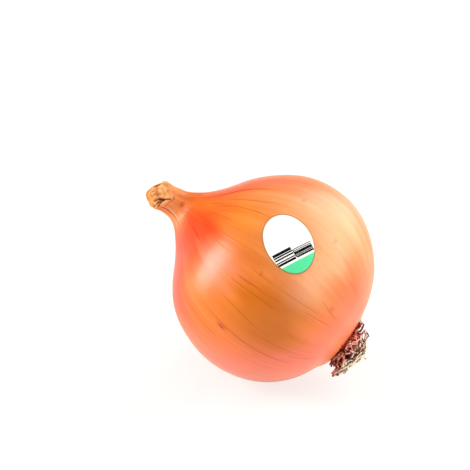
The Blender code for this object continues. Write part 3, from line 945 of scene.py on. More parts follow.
@dataclass
class Strands:
    """Geometry Nodes that sweep a thin, uneven strand along each path."""

    thickness: float
    taper: float
    sides: int = 5
    points: int = 14
    kink: float = 0.25 * MM
    kink_length: float = 3.3333 * MM
    spread: float = 0.7
    seed: int = 3
    sockets: dict[str, str] = field(default_factory=dict)

    @property
    def kink_scale(self) -> float:
        """The noise scale that makes kinks of that length."""
        return 1.0 / self.kink_length

    def sizes(self) -> dict[str, float]:
        """The numbers that the node tree takes, by the names of its inputs."""
        labels = ("Thickness", "Taper", "Sides", "Points", "Kink", "Kink Scale", "Spread", "Seed")
        return {label: getattr(self, label.lower().replace(" ", "_")) for label in labels}

    def tree(self, name: str) -> Tree:
        """Build the node tree.

        Args:
            name: The tree's name.

        Returns:
            The tree, with a named input for each size.
        """
        tree = bpy.data.node_groups.new(name, "GeometryNodeTree")
        face = tree.interface
        face.new_socket("Geometry", in_out="OUTPUT", socket_type="NodeSocketGeometry")
        kinds = {"Paths": "Geometry", "Finish": "Material"}
        for label, value in self.sizes().items():
            kinds[label] = "Int" if isinstance(value, int) else "Float"
        for label, kind in kinds.items():
            socket = face.new_socket(label, in_out="INPUT", socket_type="NodeSocket" + kind)
            self.sockets[label] = socket.identifier
        given = add_node(tree, "NodeGroupInput").outputs
        count = {"Curve": given["Paths"], "Count": given["Points"]}
        evened = add_node(tree, "GeometryNodeResampleCurve", count).outputs[0]
        along = add_node(tree, "GeometryNodeSplineParameter").outputs["Factor"]
        moved = {"Geometry": evened, "Offset": self.kinked(tree, given, along)}
        bent = add_node(tree, "GeometryNodeSetPosition", moved).outputs[0]
        which = add_node(tree, "GeometryNodeCurveOfPoint").outputs["Curve Index"]
        draw = {2: 0.0, 3: 1.0, "ID": which, "Seed": given["Seed"]}
        chance = add_node(tree, "FunctionNodeRandomValue", draw, data_type="FLOAT").outputs[1]
        marked = self.stored(tree, self.stored(tree, bent, "strand", chance), "along", along)
        thinned = maths(tree, "SUBTRACT", 1.0, maths(tree, "MULTIPLY", along, given["Taper"]))
        centred = maths(tree, "MULTIPLY", maths(tree, "SUBTRACT", chance, 0.5), given["Spread"])
        size = maths(tree, "MULTIPLY", maths(tree, "ADD", 1.0, centred), thinned)
        radius = maths(tree, "MULTIPLY", maths(tree, "MULTIPLY", given["Thickness"], 0.5), size)
        circle = {"Resolution": given["Sides"], "Radius": 1.0}
        profile = add_node(tree, "GeometryNodeCurvePrimitiveCircle", circle).outputs[0]
        tube = {"Curve": marked, "Profile Curve": profile, "Scale": radius, "Fill Caps": True}
        swept = add_node(tree, "GeometryNodeCurveToMesh", tube).outputs[0]
        finish = {"Geometry": swept, "Material": given["Finish"]}
        dressed = add_node(tree, "GeometryNodeSetMaterial", finish).outputs[0]
        real = add_node(tree, "GeometryNodeRealizeInstances", {"Geometry": dressed}).outputs[0]
        add_node(tree, "NodeGroupOutput", {"Geometry": real})
        return tree

    def stored(self, tree: Tree, geometry: Socket, name: str, value: Socket) -> Socket:
        """The geometry with a number stored on each of its points."""
        inputs = {"Geometry": geometry, "Name": name, "Value": value}
        kind = "GeometryNodeStoreNamedAttribute"
        return add_node(tree, kind, inputs, data_type="FLOAT", domain="POINT").outputs[0]

    def kinked(self, tree: Tree, given: Outputs, along: Socket) -> Socket:
        """How far each point of a path is moved, growing from nothing at the path's start.

        Args:
            tree: The node tree.
            given: The tree's inputs.
            along: The share of the way along the path.

        Returns:
            The offset's socket.
        """
        pattern = {"Scale": given["Kink Scale"], "Detail": 1.0}
        chance = add_node(tree, "ShaderNodeTexNoise", pattern).outputs["Color"]
        halves = {0: chance, 1: (0.5, 0.5, 0.5)}
        centred = add_node(tree, "ShaderNodeVectorMath", halves, operation="SUBTRACT").outputs[0]
        grown = maths(tree, "MULTIPLY", maths(tree, "MULTIPLY", along, 4.0), given["Kink"])
        scaled = {0: centred, "Scale": grown}
        return add_node(tree, "ShaderNodeVectorMath", scaled, operation="SCALE").outputs[0]

    def sweep(self, name: str, paths: list[Array], material: Material) -> Object:
        """Sweep a strand along each path, as one plain mesh.

        Args:
            name: The object's name.
            paths: Points in the world along each strand, from its root to its tip.
            material: The finish.

        Returns:
            The object, whose points carry their strand's own number and their share of its length.
        """
        curves = bpy.data.curves.new(name, "CURVE")
        curves.dimensions = "3D"
        for path in paths:
            spline = curves.splines.new("POLY")
            spline.points.add(len(path) - 1)
            flat = np.concatenate([path, np.ones((len(path), 1))], axis=1)
            spline.points.foreach_set("co", flat.ravel())
        guide = add_object(name + "_paths", curves)
        modifier = guide.modifiers.new("sweep", "NODES")
        modifier.node_group = self.tree(name + "_sweep")
        for label, value in (self.sizes() | {"Finish": material}).items():
            modifier[self.sockets[label]] = value
        graph = bpy.context.evaluated_depsgraph_get()
        mesh = bpy.data.meshes.new_from_object(guide.evaluated_get(graph))
        bpy.data.objects.remove(guide)
        mesh.name = name
        mesh.shade_smooth()
        return add_object(name, mesh)


@dataclass
class Bulb:
    """The bulb with its papery skin and the dried neck that the skin runs into."""

    sides: int = 288
    rows_below: int = 105
    rows_above: int = 88
    rows_shoulder: int = 60
    rows_neck: int = 36
    rows_rim: int = 6
    set_in: float = 0.06 * MM
    wall: float = 0.3 * MM
    turned_in: float = 2.6 * MM
    fray: float = 0.3 * MM
    crinkle: float = 0.05 * MM
    crinkle_zs: Pair = (40.0 * MM, 54.0 * MM)
    torn_edge: float = 0.2 * MM
    torn_width: float = 1.2 * MM
    dry_zs: Pair = (44.0 * MM, 58.0 * MM)
    dry_low_side: float = 6.0 * MM
    dry_lon: float = math.radians(-95.0)
    dry_turn: float = 0.7
    fray_zs: Pair = (43.0 * MM, 50.0 * MM)
    fray_lon: float = math.radians(-98.0)
    fray_turn: float = math.radians(26.0)
    stain_zs: Pair = (-38.3 * MM, -33.8 * MM)
    vein_thickness: float = 0.34 * MM
    vein_darker: float = 0.75
    vein_widths: Pair = (0.2, 0.5)
    clear_of_floor: float = 2.0 * MM
    back_veins: int = 26
    back_lons: Pair = (22, 232)
    back_starts: Pair = (-20, 30)
    back_lengths: Pair = (16, 34)
    back_widths: Pair = (0.26, 0.4)
    # For each tint its patches, by the fields of Patch. Where a patch stands for light, it is said
    # below
    tints: tuple[tuple[str, Rows], ...] = (
        # Red patches round the neck's base and the one on the low rim are painted shade
        ("red", (
            (36.5, -54, 8, 28, 1.0), (38, -104, 10, 32, 1.0), (26, -122, 16, 15, 0.9),
            (36, -2, 7, 16, 0.6), (46, -60, 5, 60, 0.5), (-22, -24, 7, 14, 0.25),
        )),
        # Pinkish patches on the top and low sides: painted reflection; at -68: painted highlight
        ("pink_and_reflection", (
            (30, 12, 20, 17, 0.9), (2, -128, 16, 20, 0.8), (-14, -114, 15, 24, 0.9),
            (-24, -92, 8, 20, 0.8), (-31, -50, 9, 75, 0.85), (23, -68, 12, 11, 0.8),
        )),
        # The creamy patches at longitudes -5 and -68 are painted highlights
        ("cream_and_highlight", (
            (0, -5, 22, 27, 1.0), (-11, -46, 9, 16, 0.8), (4, -46, 8, 10, 0.3),
            (15, 120, 22, 40, 0.6), (22, -68, 9, 9, 0.7), (-12, -26, 9, 12, 0.6),
        )),
        # Darker patches on the front are painted shade; the one at 170 is the back's own tone
        ("bronze_and_shade", (
            (-4, -79, 16, 12, 1.0), (-23, -25, 6, 12, 0.35), (3, -72, 9, 9, 0.5),
            (-10, -66, 10, 14, 0.75), (18, -54, 10, 12, 0.4), (-10, 170, 20, 40, 0.7),
        )),
        ("mark", (
            (49.4, -42.5, 0.9, 10, 0.6), (35, -52.4, 0.8, 2.2, 0.5), (6.4, -94.6, 1.8, 0.9, 1.0),
            (10.4, -6, 0.7, 1.4, 0.4), (-8.7, -16.8, 0.6, 0.9, 0.45), (7, -56.8, 0.6, 0.9, 0.5),
            (-23.3, -47.1, 0.9, 1.6, 0.4),
        )),
    )
    # The fields of each measured vein
    veins: Rows = (
        (-94, 20, -24, 0.46, 1.2), (-68.3, 18, -8, 0.38), (-80.5, 14, -6, 0.42),
        (-63, 10, -6, 0.34), (-56, -2, -20, 0.32), (-27, 38, 16, 0.46, 2.0), (-22, 40, 30, 0.4),
        (-31, 36, 27, 0.36), (-36.5, 40, 25, 0.4), (-16.2, 36, 12, 0.38), (-3.5, 43, 20, 0.5),
        (-48.7, -17, -28, 0.36), (-58, -14, -28, 0.36), (-68, 42, 33, 0.36), (-66.5, 40, 28, 0.3),
        (-104, 30, 2, 0.34), (-86, 0, -26, 0.3),
    )

    def skin_zs(self) -> Array:
        """Heights of the skin's rings, closer together where the skin turns in."""
        rim = math.acos(-FORM.plate_z / FORM.root_reach)
        shoulder = math.asin(FORM.shoulder_z / FORM.neck_reach)
        low_angles = np.linspace(rim, math.pi / 2, self.rows_below, endpoint=False)
        high_angles = np.linspace(0, shoulder, self.rows_above, endpoint=False)
        hollow = np.linspace(FORM.shoulder_z, FORM.neck_z, self.rows_shoulder, endpoint=False)
        below, above = -FORM.root_reach * np.cos(low_angles), FORM.neck_reach * np.sin(high_angles)
        return np.concatenate([below, above, hollow])

    def fine_relief(self, z: Array, lon: Array) -> Array:
        """Crinkles of the dried neck and the ragged edge of the skin round the root plate.

        Args:
            z: Heights along the axis.
            lon: Longitudes round it.

        Returns:
            How far each point is moved outwards.
        """
        neck = smooth_step(z, *self.crinkle_zs)
        wrinkles = np.sin(23 * lon + 2 * np.sin(3 * lon))
        wrinkles = wrinkles + 0.6 * np.sin(41 * lon + 9 * z / (10 * MM))
        edge = bump(z, FORM.plate_z, self.torn_width)
        torn = np.sin(19 * lon + 1.0) + 0.8 * np.sin(33 * lon + 2.0 * np.sin(5 * lon))
        return -self.crinkle * neck * (1.0 + wrinkles) - self.torn_edge * edge * (1.0 + torn)

    def rows(self) -> tuple[Array, Array, Array]:
        """The piece's rings, from the middle of the root recess to the rim turned into the neck.

        Returns:
            Points in the onion's own frame, and the height and the longitude of each.
        """
        lon = longitudes(self.sides)
        recess_z = FORM.plate_z + FORM.plate_recess
        recess_shares = (0.35, 0.7, 1.0)
        z_rows = [np.full(self.sides, recess_z) for _ in recess_shares]
        r_rows = [np.full(self.sides, share * FORM.recess_r) for share in recess_shares]
        rings = [(np.full(self.sides, z), np.full(self.sides, z)) for z in self.skin_zs()]
        neck_zs = np.linspace(FORM.neck_z, FORM.neck_end_z, self.rows_neck)
        for share, neck_z in zip(np.linspace(0.0, 1.0, self.rows_neck), neck_zs):
            level = np.full(self.sides, neck_z)
            cut = share * FORM.cut_height(FORM.skin_radius(level, lon), lon)
            fray = self.fray * share**6 * (np.sin(17 * lon) * np.sin(29 * lon + 1.0) - 0.6)
            rings.append((level, level + cut + fray))
        for level, z in rings:
            z_rows.append(z)
            r_rows.append(FORM.skin_radius(level, lon) + self.fine_relief(z, lon) - self.set_in)
        rim_z, rim_r = z_rows[-1], r_rows[-1]
        for share in np.linspace(0.0, 1.0, self.rows_rim):
            z_rows.append(rim_z - self.turned_in * share)
            r_rows.append(rim_r - self.wall * min(1.0, 0.7 + share))
        z = np.stack(z_rows)
        all_lon = np.broadcast_to(lon, z.shape)
        return FORM.ring_point(z, np.stack(r_rows), all_lon), z, all_lon

    def colours(self, z: Array, lon: Array) -> dict[str, Array]:
        """Everything that the skin's finish reads from its points.

        Args:
            z: Heights along the axis.
            lon: Longitudes round it.

        Returns:
            The coordinate along the meridians, and the strength of each tint.
        """
        values = {"meridian": FORM.meridian(z, lon)}
        for name, rows in self.tints:
            values[name] = np.clip(sum(Patch(*row).amount(z, lon) for row in rows), 0.0, 1.0)
        low_side = self.dry_low_side * bump(turn_apart(lon, self.dry_lon), 0.0, self.dry_turn)
        values["dry"] = smooth_step(z + low_side, *self.dry_zs)
        fray_side = bump(turn_apart(lon, self.fray_lon), 0.0, self.fray_turn)
        values["fray"] = smooth_step(z, *self.fray_zs) * fray_side
        values["stain"] = 1.0 - smooth_step(z, *self.stain_zs)
        return values

    def build_skin(self, finish: OnionSkin) -> Object:
        """The closed skin, cut level where the onion rests."""
        points, z, lon = self.rows()
        material = finish.build("onion_skin")
        skin = closed_surface("papery_skin", points, self.colours(z, lon), material)
        for vertex in skin.data.vertices:
            vertex.co.z = max(0.0, vertex.co.z)
        return skin

    def all_veins(self) -> list[Vein]:
        """The measured veins of the front, and random ones on the back."""
        rng = random.Random(11)
        veins = [Vein(*row) for row in self.veins]
        for _ in range(self.back_veins):
            start = rng.uniform(*self.back_starts)
            lon = rng.uniform(*self.back_lons)
            end = start - rng.uniform(*self.back_lengths)
            veins.append(Vein(lon, start, end, rng.uniform(*self.back_widths)))
        return veins

    def build_veins(self, finish: OnionSkin) -> Object:
        """The most distinct veins, as low ridges on the skin.

        Args:
            finish: The skin's finish, which the veins have in a darker form.

        Returns:
            The ridges, whose points carry what the skin's carry, and how dark each is.
        """
        paths, depths = [], []
        thinnest, widest = self.vein_widths
        for vein in self.all_veins():
            path = vein.path(0.5 * self.vein_thickness + self.set_in)
            if path[:, 2].min() > self.clear_of_floor:
                paths.append(path)
                depths.append((vein.width - thinnest) / (widest - thinnest))
        strands = Strands(
            thickness=self.vein_thickness, taper=0.0, sides=8, points=48, kink=0.0, spread=0.0
        )
        ridges = strands.sweep("skin_veins", paths, finish.build("onion_vein", self.vein_darker))
        own = own_points(ridges)
        off_middle = own - FORM.lean(own[:, 2])[:, None] * towards(FORM.low_lon)
        lon = np.arctan2(off_middle[:, 1], off_middle[:, 0])
        for name, value in self.colours(own[:, 2], lon).items():
            carry(ridges, name, value)
        along = np.empty(len(own), dtype=np.float32)
        ridges.data.attributes["along"].data.foreach_get("value", along)
        own_depth = np.repeat(depths, len(own) // len(paths))
        carry(ridges, "cover", own_depth * np.clip(1.6 * np.sin(math.pi * along), 0.0, 1.0))
        return ridges

    def build(self) -> None:
        """Build and seat the skin and its veins."""
        finish = OnionSkin()
        seat(self.build_skin(finish), "bulb")
        seat(self.build_veins(finish), "bulb")


@dataclass
class NeckEnd:
    """The cut end of the dried leaf sheaths inside the neck.

    A fold or a crack is a line on the cut face, whose own two coordinates run from -1 to 1, towards
    the front and the low side. Each row has its ends, its width and its share of the depth.
    """

    sides: int = 180
    face_rings: int = 60
    inset: float = 0.3 * MM
    dome: float = 0.9 * MM
    layer: float = 0.2 * MM
    layer_turns: float = 2.6
    grain: float = 0.05 * MM
    fold_depth: float = 2.2 * MM
    fold_sway: float = 0.05
    crack_depth: float = 1.3 * MM
    plug: float = 1.6 * MM
    folds: Rows = ((0.05, 0.44, 0.63, 0.1, 0.12, 1.0), (0.63, 0.1, 1.05, -0.18, 0.08, 1.0))
    cracks: Rows = (
        (0.2, 0.85, 0.5, 0.38, 0.08, 1.0),
        (0.6, 0.85, 0.62, 0.42, 0.07, 1.0),
        (0.3, 0.6, 0.44, 0.66, 0.05, 1.0),
        (-0.82, -0.4, -0.5, -0.8, 0.07, 0.8),
    )

    def near_lines(self, front: Array, low: Array, rows: Rows) -> Array:
        """How near points of the cut face lie to the nearest of some lines.

        Args:
            front: How far towards the front they lie.
            low: How far towards the low side they lie.
            rows: The lines.

        Returns:
            A line's share of the depth on it, falling to 0 over about its width.
        """
        nearness = np.zeros_like(front)
        for start_front, start_low, end_front, end_low, width, strength in rows:
            off_front, off_low = front - start_front, low - start_low
            along_front, along_low = end_front - start_front, end_low - start_low
            share = off_front * along_front + off_low * along_low
            share = np.clip(share / (along_front**2 + along_low**2), 0.0, 1.0)
            away = np.hypot(off_front - share * along_front, off_low - share * along_low)
            nearness = np.maximum(nearness, strength * bump(away, 0.0, width))
        return nearness

    def relief(self, share: Array, lon: Array) -> tuple[Array, Array]:
        """The height of the cut end, and how deep each point lies in a fold or crack.

        Args:
            share: 0 at the middle of the cut end, 1 at its edge.
            lon: Longitudes.

        Returns:
            Heights, and values from 0 on the face to 1 at the bottom of a fold, which set its
            painted shade.
        """
        front = share * np.cos(lon - FORM.front_lon)
        low = share * np.cos(lon - FORM.low_lon)
        spiral = np.cos(2 * math.pi * (self.layer_turns * share + lon / (2 * math.pi)))
        layers = spiral * smooth_step(share, 0.1, 0.5)
        fold = self.near_lines(front, low + self.fold_sway * np.sin(7 * front), self.folds)
        cracks = self.near_lines(front, low, self.cracks)
        raised = self.dome * (1.0 - share**2) + self.layer * layers
        grain = self.grain * np.sin(31 * front + 5 * np.sin(9 * low)) * np.sin(27 * low + 2.0)
        edge_fade = 1.0 - smooth_step(share, 0.93, 1.03)
        height = raised + grain - edge_fade * (self.fold_depth * fold + self.crack_depth * cracks)
        return height, np.maximum(fold, cracks)

    def build(self) -> None:
        """Build and seat the plug of sheaths."""
        lon = longitudes(self.sides)
        end_z = np.full(self.sides, FORM.neck_end_z)
        full_r = FORM.skin_radius(end_z, lon) - self.inset
        rim_z = end_z + FORM.cut_height(full_r, lon)
        z_rows = [rim_z - self.plug, rim_z - 0.5 * self.plug]
        r_rows = [full_r, full_r]
        # The plug's sides get painted shade as well, a dark line under the skin's rim
        fold_shades = [np.full(self.sides, 0.5), np.full(self.sides, 0.5)]
        for share in np.linspace(1.0, 0.02, self.face_rings):
            height, fold_shade = self.relief(np.full(self.sides, share), lon)
            z_rows.append(end_z + FORM.cut_height(share * full_r, lon) + height)
            r_rows.append(share * full_r)
            fold_shades.append(fold_shade)
        z, radius = np.stack(z_rows), np.stack(r_rows)
        points = FORM.ring_point(z, radius, np.broadcast_to(lon, z.shape))
        values = {"fold_shade": np.stack(fold_shades)}
        end = closed_surface("sheath_end", points, values, DrySheath().build())
        seat(end, "neck_sheaths")


@dataclass
class RootTuft:
    """The woody basal plate with its nest of dried roots.

    Depths are measured down from the plate, and reaches out from its middle.
    """

    plate_r: float = 8.8 * MM
    plate_depth: float = 2.4 * MM
    plate_sides: int = 120
    plate_gap: float = 0.3 * MM
    plate_rough: float = 0.25 * MM
    # For each ring of the plate its share of the radius and of the height
    plate_rows: Rows = (
        (0.5, 0.0), (0.93, 0.0), (1.0, 0.3), (0.97, 0.5), (0.85, 0.72), (0.6, 0.9), (0.3, 1.0)
    )
    nest_r: float = 11.2 * MM
    nest_depth: float = 9.2 * MM
    nest_shift: float = 1.8 * MM
    nest_top: float = 0.6 * MM
    nest_count: int = 105
    nest_start: float = 1.2 * MM
    nest_start_share: float = 0.86
    nest_sweeps: Pair = (0.9, 2.8)
    nest_layers: Pair = (0.45, 1.0)
    nest_tilts: Pair = (0.25, 1.35)
    nest_tilt_changes: Pair = (-0.7, 0.7)
    nest_waves: Pair = (0.05, 0.2)
    nest_beats: Pair = (2.0, 5.5)
    nest_tilt_limits: Pair = (0.1, 1.5)
    bristle_count: int = 200
    bristle_crowding: float = 0.35
    bristle_points: int = 4
    bristle_start: float = 0.7
    bristle_inset: float = 1.2 * MM
    bristle_steps: Pair = (0.5, 1.3)
    bristle_drops: Pair = (0.0, 1.2)
    bristle_twists: Pair = (-0.16, 0.16)
    stray_start: float = 1.4 * MM
    stray_sag: float = 1.1 * MM
    stray_sway: float = 0.35 * MM
    # How far out from the nest's middle the painted shade of its inner strands fades
    inside_shares: Pair = (0.55, 0.95)
    clear: float = 0.4 * MM
    step_down: float = 0.1 * MM
    # For each stray root its turn from the low side, and its reach and depth in mm
    strays: Rows = (
        (0.0, 14.2, 5.0),
        (0.16, 13.6, 3.9),
        (-0.3, 12.6, 5.2),
        (0.75, 12.0, 5.0),
        (2.6, 10.4, 3.6),
        (3.3, 10.6, 2.6),
        (-1.2, 12.0, 4.4),
    )
    # For each trailing root its first reach and depth, its last ones, and how far forward, in mm
    trails: Rows = (
        (-2.4, 9.5, 13.9, 5.0, 1.6),
        (-0.4, 10.0, 13.1, 5.8, 2.6),
        (-3.8, 8.9, 12.6, 6.3, 0.6),
        (-1.2, 9.2, 12.0, 4.6, 4.6),
        (-3.2, 7.6, 9.5, 7.9, 4.0),
    )

    def under_plate(self, lon: float, reach: float, depth: float) -> Array:
        """A point that far out from the plate's middle, and that deep below it."""
        point = FORM.ring_point(np.array(FORM.plate_z), np.array(reach), np.array(lon))
        return point - np.array([0.0, 0.0, depth])

    def nest_middle(self) -> Array:
        """The point that the nest's roots curl round."""
        return self.under_plate(FORM.low_lon, self.nest_shift, self.nest_top)

    def off_skin(self, point: Array) -> Array:
        """The point moved down the axis until it clears the bulb's root end."""
        z = point[2]
        while z > FORM.plate_z - self.clear:
            off_middle = point - float(FORM.lean(np.array(z))) * towards(FORM.low_lon)
            room = float(FORM.profile_radius(np.array(z))) + self.clear
            if math.hypot(off_middle[0], off_middle[1]) > room:
                break
            z -= self.step_down
        return np.array([point[0], point[1], z])

    def nest_path(self, rng: random.Random, index: int) -> Array:
        """Path of one dried root: down out of the plate, then round the nest in an uneven arc.

        Args:
            rng: The seeded source of chance.
            index: The root's number.

        Returns:
            Points in the onion's own frame.
        """
        lon = index * math.pi * (3.0 - math.sqrt(5.0))
        share = math.sqrt((index + 0.5) / self.nest_count)
        start_reach = self.nest_start_share * self.plate_r * share
        start = self.under_plate(lon, start_reach, self.nest_start)
        sweep = rng.choice((-1.0, 1.0)) * rng.uniform(*self.nest_sweeps)
        layer = rng.uniform(*self.nest_layers)
        tilt = rng.uniform(*self.nest_tilts)
        tilt_change = rng.uniform(*self.nest_tilt_changes)
        wave, beat = rng.uniform(*self.nest_waves), rng.uniform(*self.nest_beats)
        path = []
        for t in np.linspace(0.0, 1.0, 13):
            off_pole = tilt + tilt_change * t + wave * math.sin(beat * t * math.pi)
            off_pole = float(np.clip(off_pole, *self.nest_tilt_limits))
            reach = layer * self.nest_r * math.sin(off_pole) ** 0.8
            point = self.nest_middle() + reach * towards(lon + sweep * t)
            point[2] -= layer * self.nest_depth * math.cos(off_pole) ** 0.6
            point = start + (point - start) * float(smooth_step(t, 0.0, 0.4))
            path.append(self.off_skin(point) if t > 0.1 else point)
        return np.array(path)

    def bristle_path(self, rng: random.Random, index: int) -> Array:
        """Path of one short bristle at the plate's rim, lying out over the skin.

        Args:
            rng: The seeded source of chance.
            index: The bristle's number.

        Returns:
            Points in the onion's own frame.
        """
        turn = 2 * math.pi * (index + rng.uniform(-0.4, 0.4)) / self.bristle_count
        lon = FORM.low_lon + turn - self.bristle_crowding * math.sin(turn)
        step = rng.uniform(*self.bristle_steps) * MM
        drop = rng.uniform(*self.bristle_drops) * (0.65 + 0.35 * math.cos(turn))
        twist = rng.uniform(*self.bristle_twists)
        path = []
        for i in range(self.bristle_points):
            reach = self.plate_r - self.bristle_inset + i * step
            depth = (self.bristle_start + i * drop * rng.uniform(0.6, 1.4)) * MM
            point = self.under_plate(lon + i * twist, reach, depth)
            path.append(self.off_skin(point) if i > 1 else point)
        return np.array(path)

    def stray_path(self, rng: random.Random, off_low: float, reach: float, depth: float) -> Array:
        """Path of one stiffer root that stands out of the nest, most of them on its low side.

        Args:
            rng: The seeded source of chance.
            off_low: How far its longitude lies from the low side.
            reach: How far out it ends, in mm.
            depth: How deep it ends, in mm.

        Returns:
            Points in the onion's own frame.
        """
        lon = FORM.low_lon + off_low
        start = self.under_plate(lon, 0.5 * self.plate_r, self.stray_start)
        end = self.under_plate(lon, reach * MM, depth * MM)
        side = towards(lon + 0.5 * math.pi)
        path = []
        for t in np.linspace(0.0, 1.0, 7):
            point = start + (end - start) * t
            point[2] -= self.stray_sag * math.sin(math.pi * t)
            point += self.stray_sway * rng.uniform(-1.0, 1.0) * side
            path.append(self.off_skin(point) if t > 0.3 else point)
        return np.array(path)

    def trail_path(
        self, start: float, start_depth: float, end: float, end_depth: float, forward: float
    ) -> Array:
        """Path of one long, nearly straight root that lies across the bottom of the nest.

        Args:
            start: How far towards the low side it starts, in mm.
            start_depth: How deep below the plate it starts.
            end: How far towards the low side it ends.
            end_depth: How deep below the plate it ends.
            forward: How far towards the front it lies.

        Returns:
            Points in the onion's own frame.
        """
        share = np.linspace(0.0, 1.0, 8)[:, None]
        reach = start + (end - start) * share
        depth = start_depth + (end_depth - start_depth) * share + 0.5 * np.sin(math.pi * share)
        across = reach * towards(FORM.low_lon) + forward * towards(FORM.front_lon)
        return self.under_plate(0.0, 0.0, 0.0) + (across - depth * np.array([0.0, 0.0, 1.0])) * MM

    def dress(self, obj: Object) -> None:
        """Give a root piece what its finish reads: how deep and how far inside it lies."""
        own = own_points(obj)
        depth = (FORM.plate_z - own[:, 2]) / self.nest_depth
        away = (own - self.nest_middle()) / np.array([self.nest_r, self.nest_r, self.nest_depth])
        outside = smooth_step(np.linalg.norm(away, axis=1), *self.inside_shares)
        carry(obj, "depth", np.clip(depth, 0.0, 1.0))
        # the painted shade of the nest's inner strands
        carry(obj, "nest_shade", 1.0 - outside)

    def build_plate(self, material: Material) -> Object:
        """The rough, low dome of the basal plate, which fills the recess in the bulb.

        Args:
            material: The finish.

        Returns:
            The plate.
        """
        top = FORM.plate_recess - self.plate_gap
        lon = longitudes(self.plate_sides)
        z_rows, r_rows = [], []
        for share, drop in self.plate_rows:
            rough = self.plate_rough * np.sin(13 * lon + 7 * share) * np.sin(23 * lon + 11 * share)
            rough = rough * (drop > 0)
            z_rows.append(FORM.plate_z + top - drop * (top + self.plate_depth) + rough)
            r_rows.append(share * self.plate_r * (1.0 + 0.03 * np.sin(5 * lon)) + rough)
        z = np.stack(z_rows)
        middle = self.under_plate(0.0, 0.0, 0.0) * np.array([1.0, 1.0, 0.0])
        points = np.stack(r_rows)[..., None] * towards(np.broadcast_to(lon, z.shape)) + middle
        points[..., 2] = z
        return closed_surface("root_plate", points, {"strand": 0.4 + 0.0 * z}, material)

    def build(self) -> None:
        """Build and seat the plate, the nest, the bristles, the strays and the trailing roots."""
        rng = random.Random(7)
        material = DryRoot().build()
        paths = {
            "root_nest": [self.nest_path(rng, i) for i in range(self.nest_count)],
            "root_bristles": [self.bristle_path(rng, i) for i in range(self.bristle_count)],
            "stray_roots": [self.stray_path(rng, *stray) for stray in self.strays],
            "trailing_roots": [self.trail_path(*trail) for trail in self.trails],
        }
        strands = {
            "root_nest": Strands(
                thickness=0.72 * MM, taper=0.45, points=15,
                kink=0.6 * MM, kink_length=1.9231 * MM, spread=1.0,
            ),
            "root_bristles": Strands(
                thickness=0.62 * MM, taper=0.5, sides=4, points=6,
                kink=0.3 * MM, kink_length=2.0 * MM, spread=0.8,
            ),
            "stray_roots": Strands(
                thickness=1.05 * MM, taper=0.3, sides=8, kink=0.15 * MM, spread=0.3
            ),
            "trailing_roots": Strands(
                thickness=0.85 * MM, taper=0.3, sides=8,
                kink=0.12 * MM, kink_length=2.5 * MM, spread=0.3, seed=5,
            ),
        }
        pieces = [self.build_plate(material)]
        for name, strand in strands.items():
            laid = [FORM.laid_down(path) for path in paths[name]]
            pieces.append(strand.sweep(name, laid, material))
        for piece in pieces:
            self.dress(piece)
            seat(piece, "root_tuft")


@dataclass
class ProduceLabel:
    """The oval film label stuck on the skin."""

    length: float = 25.5 * MM
    width: float = 19.2 * MM
    z: float = 5.4 * MM
    lon: float = math.radians(-34.7)
    turn: float = math.radians(32.5)
    print_turn: float = math.radians(25.5)
    lift: float = 0.05 * MM
    thickness: float = 0.12 * MM
    rings: int = 40
    sides: int = 160
    sharp_angle: float = math.radians(50.0)

    def turned(self, u: Array, v: Array, angle: float) -> tuple[Array, Array]:
        """Flat coordinates turned by an angle."""
        cos, sin = math.cos(angle), math.sin(angle)
        return u * cos - v * sin, u * sin + v * cos

    def build(self) -> None:
        """Build and seat the label, pressed on to the skin."""
        shares = np.linspace(0.02, 1.0, self.rings)[:, None]
        angle = longitudes(self.sides)[None, :]
        along = shares * 0.5 * self.length * np.cos(angle)
        across = shares * 0.5 * self.width * np.sin(angle)
        to_neck, round_girth = self.turned(along, across, self.turn)
        z = self.z + FORM.bulb_r * np.sin(to_neck / FORM.bulb_r)
        lon = self.lon + round_girth / FORM.profile_radius(z)
        under = FORM.skin_point(z, lon, self.lift)
        over = FORM.skin_point(z, lon, self.lift + self.thickness)
        up, sideways = self.turned(to_neck, round_girth, -self.print_turn)
        flat = np.stack([sideways, up, np.broadcast_to(shares, along.shape)], axis=-1)
        points = np.concatenate([under, over[::-1]])
        values = {"flat": np.concatenate([flat, flat[::-1]])}
        obj = closed_surface("produce_label", points, values, LabelFilm().build())
        obj.data.set_sharp_from_angle(angle=self.sharp_angle)
        seat(obj, "label")


def outward(azimuth: float, elevation: float) -> Vector:
    """The direction from the onion to a camera or a light that stands at those angles."""
    flat = math.cos(elevation)
    return Vector((flat * math.sin(azimuth), -flat * math.cos(azimuth), math.sin(elevation)))


@dataclass(frozen=True)
class SoftBox:
    """One soft light: where it stands as seen from the onion, and how large and strong it is."""

    name: str
    azimuth: float
    elevation: float
    distance: float
    size: Pair
    power: float
    colour: str = "#ffffff"

    def build(self, target: Vector) -> None:
        """Hang the light where it belongs, facing the target."""
        lamp = bpy.data.lights.new(self.name, "AREA")
        lamp.shape = "RECTANGLE"
        lamp.size, lamp.size_y = self.size
        lamp.energy = self.power
        lamp.color = linear(self.colour)[:3]
        away = outward(math.radians(self.azimuth), math.radians(self.elevation))
        obj = add_object(self.name, lamp)
        obj.location = target + self.distance * away
        obj.rotation_euler = away.to_track_quat("Z", "Y").to_euler()


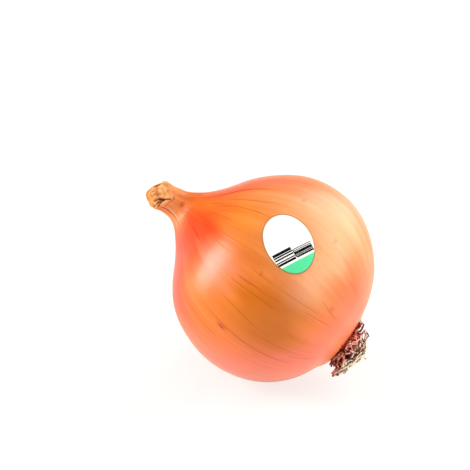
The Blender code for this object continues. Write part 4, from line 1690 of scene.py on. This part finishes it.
@dataclass
class Studio:
    """Pale floor, soft lights and the photograph's camera."""

    azimuth: float = math.radians(20.5)
    elevation: float = math.radians(30.0)
    distance: float = 0.70
    sensor: float = 36.0
    near_clip: float = 0.01
    floor_r: float = 4.0
    floor_sides: int = 64
    sky: str = "#ffffff"
    sky_strength: float = 0.12
    boxes: tuple[SoftBox, ...] = (
        SoftBox("key_right", 143.0, 28.0, 0.8, (0.95, 0.8), 9.0, "#fffaf4"),
        SoftBox("strip_left", -68.0, 18.0, 0.7, (0.28, 0.6), 7.0),
        SoftBox("top_fill", 60.0, 72.0, 1.0, (1.5, 1.5), 6.0),
        SoftBox("front_fill", 58.0, 9.0, 0.9, (0.8, 0.6), 4.2),
        SoftBox("root_kick", 100.0, 14.0, 0.5, (0.16, 0.16), 0.3, "#fff4e6"),
    )

    def build_floor(self) -> None:
        """A round sheet of lit acrylic at the height that the onion rests on."""
        rim = self.floor_r * towards(longitudes(self.floor_sides))
        mesh = bpy.data.meshes.new("floor")
        mesh.from_pydata(rim.tolist(), [], [tuple(range(self.floor_sides))])
        mesh.materials.append(PaleFloor().build())
        add_object("floor", mesh)

    def build_sky(self) -> None:
        """An even pale surround."""
        world = bpy.data.worlds.new("surround")
        world.use_nodes = True
        inputs = {"Color": linear(self.sky), "Strength": self.sky_strength}
        feed(world.node_tree, world.node_tree.nodes["Background"], inputs)
        bpy.context.scene.world = world

    def build_camera(self) -> None:
        """The camera, moved sideways without turning until the girth's middle meets its pixel."""
        back = outward(self.azimuth, self.elevation)
        right = Vector((math.cos(self.azimuth), math.sin(self.azimuth), 0.0))
        up = back.cross(right)
        per_pixel = self.distance / FOCAL_PIXELS
        off_right = (GIRTH_PIXEL[0] - 0.5 * IMAGE_PIXELS) * per_pixel
        off_up = (0.5 * IMAGE_PIXELS - GIRTH_PIXEL[1]) * per_pixel
        lens = bpy.data.cameras.new("camera")
        lens.sensor_width = self.sensor
        lens.lens = self.sensor * FOCAL_PIXELS / IMAGE_PIXELS
        lens.clip_start = self.near_clip
        camera = add_object("camera", lens)
        centre = Vector(FORM.girth_centre)
        camera.location = centre + self.distance * back - off_right * right - off_up * up
        camera.rotation_euler = Matrix((right, up, back)).transposed().to_euler()
        bpy.context.scene.camera = camera

    def build(self) -> None:
        """Set up the whole studio."""
        self.build_floor()
        self.build_sky()
        self.build_camera()
        for box in self.boxes:
            box.build(Vector(FORM.girth_centre))
        bpy.context.scene.view_settings.view_transform = "Standard"


def main() -> None:
    """Build every piece in order."""
    logging.basicConfig(level=logging.INFO, format="%(name)s: %(message)s")
    Studio().build()
    Bulb().build()
    NeckEnd().build()
    RootTuft().build()
    ProduceLabel().build()


if __name__ == "__main__":
    main()
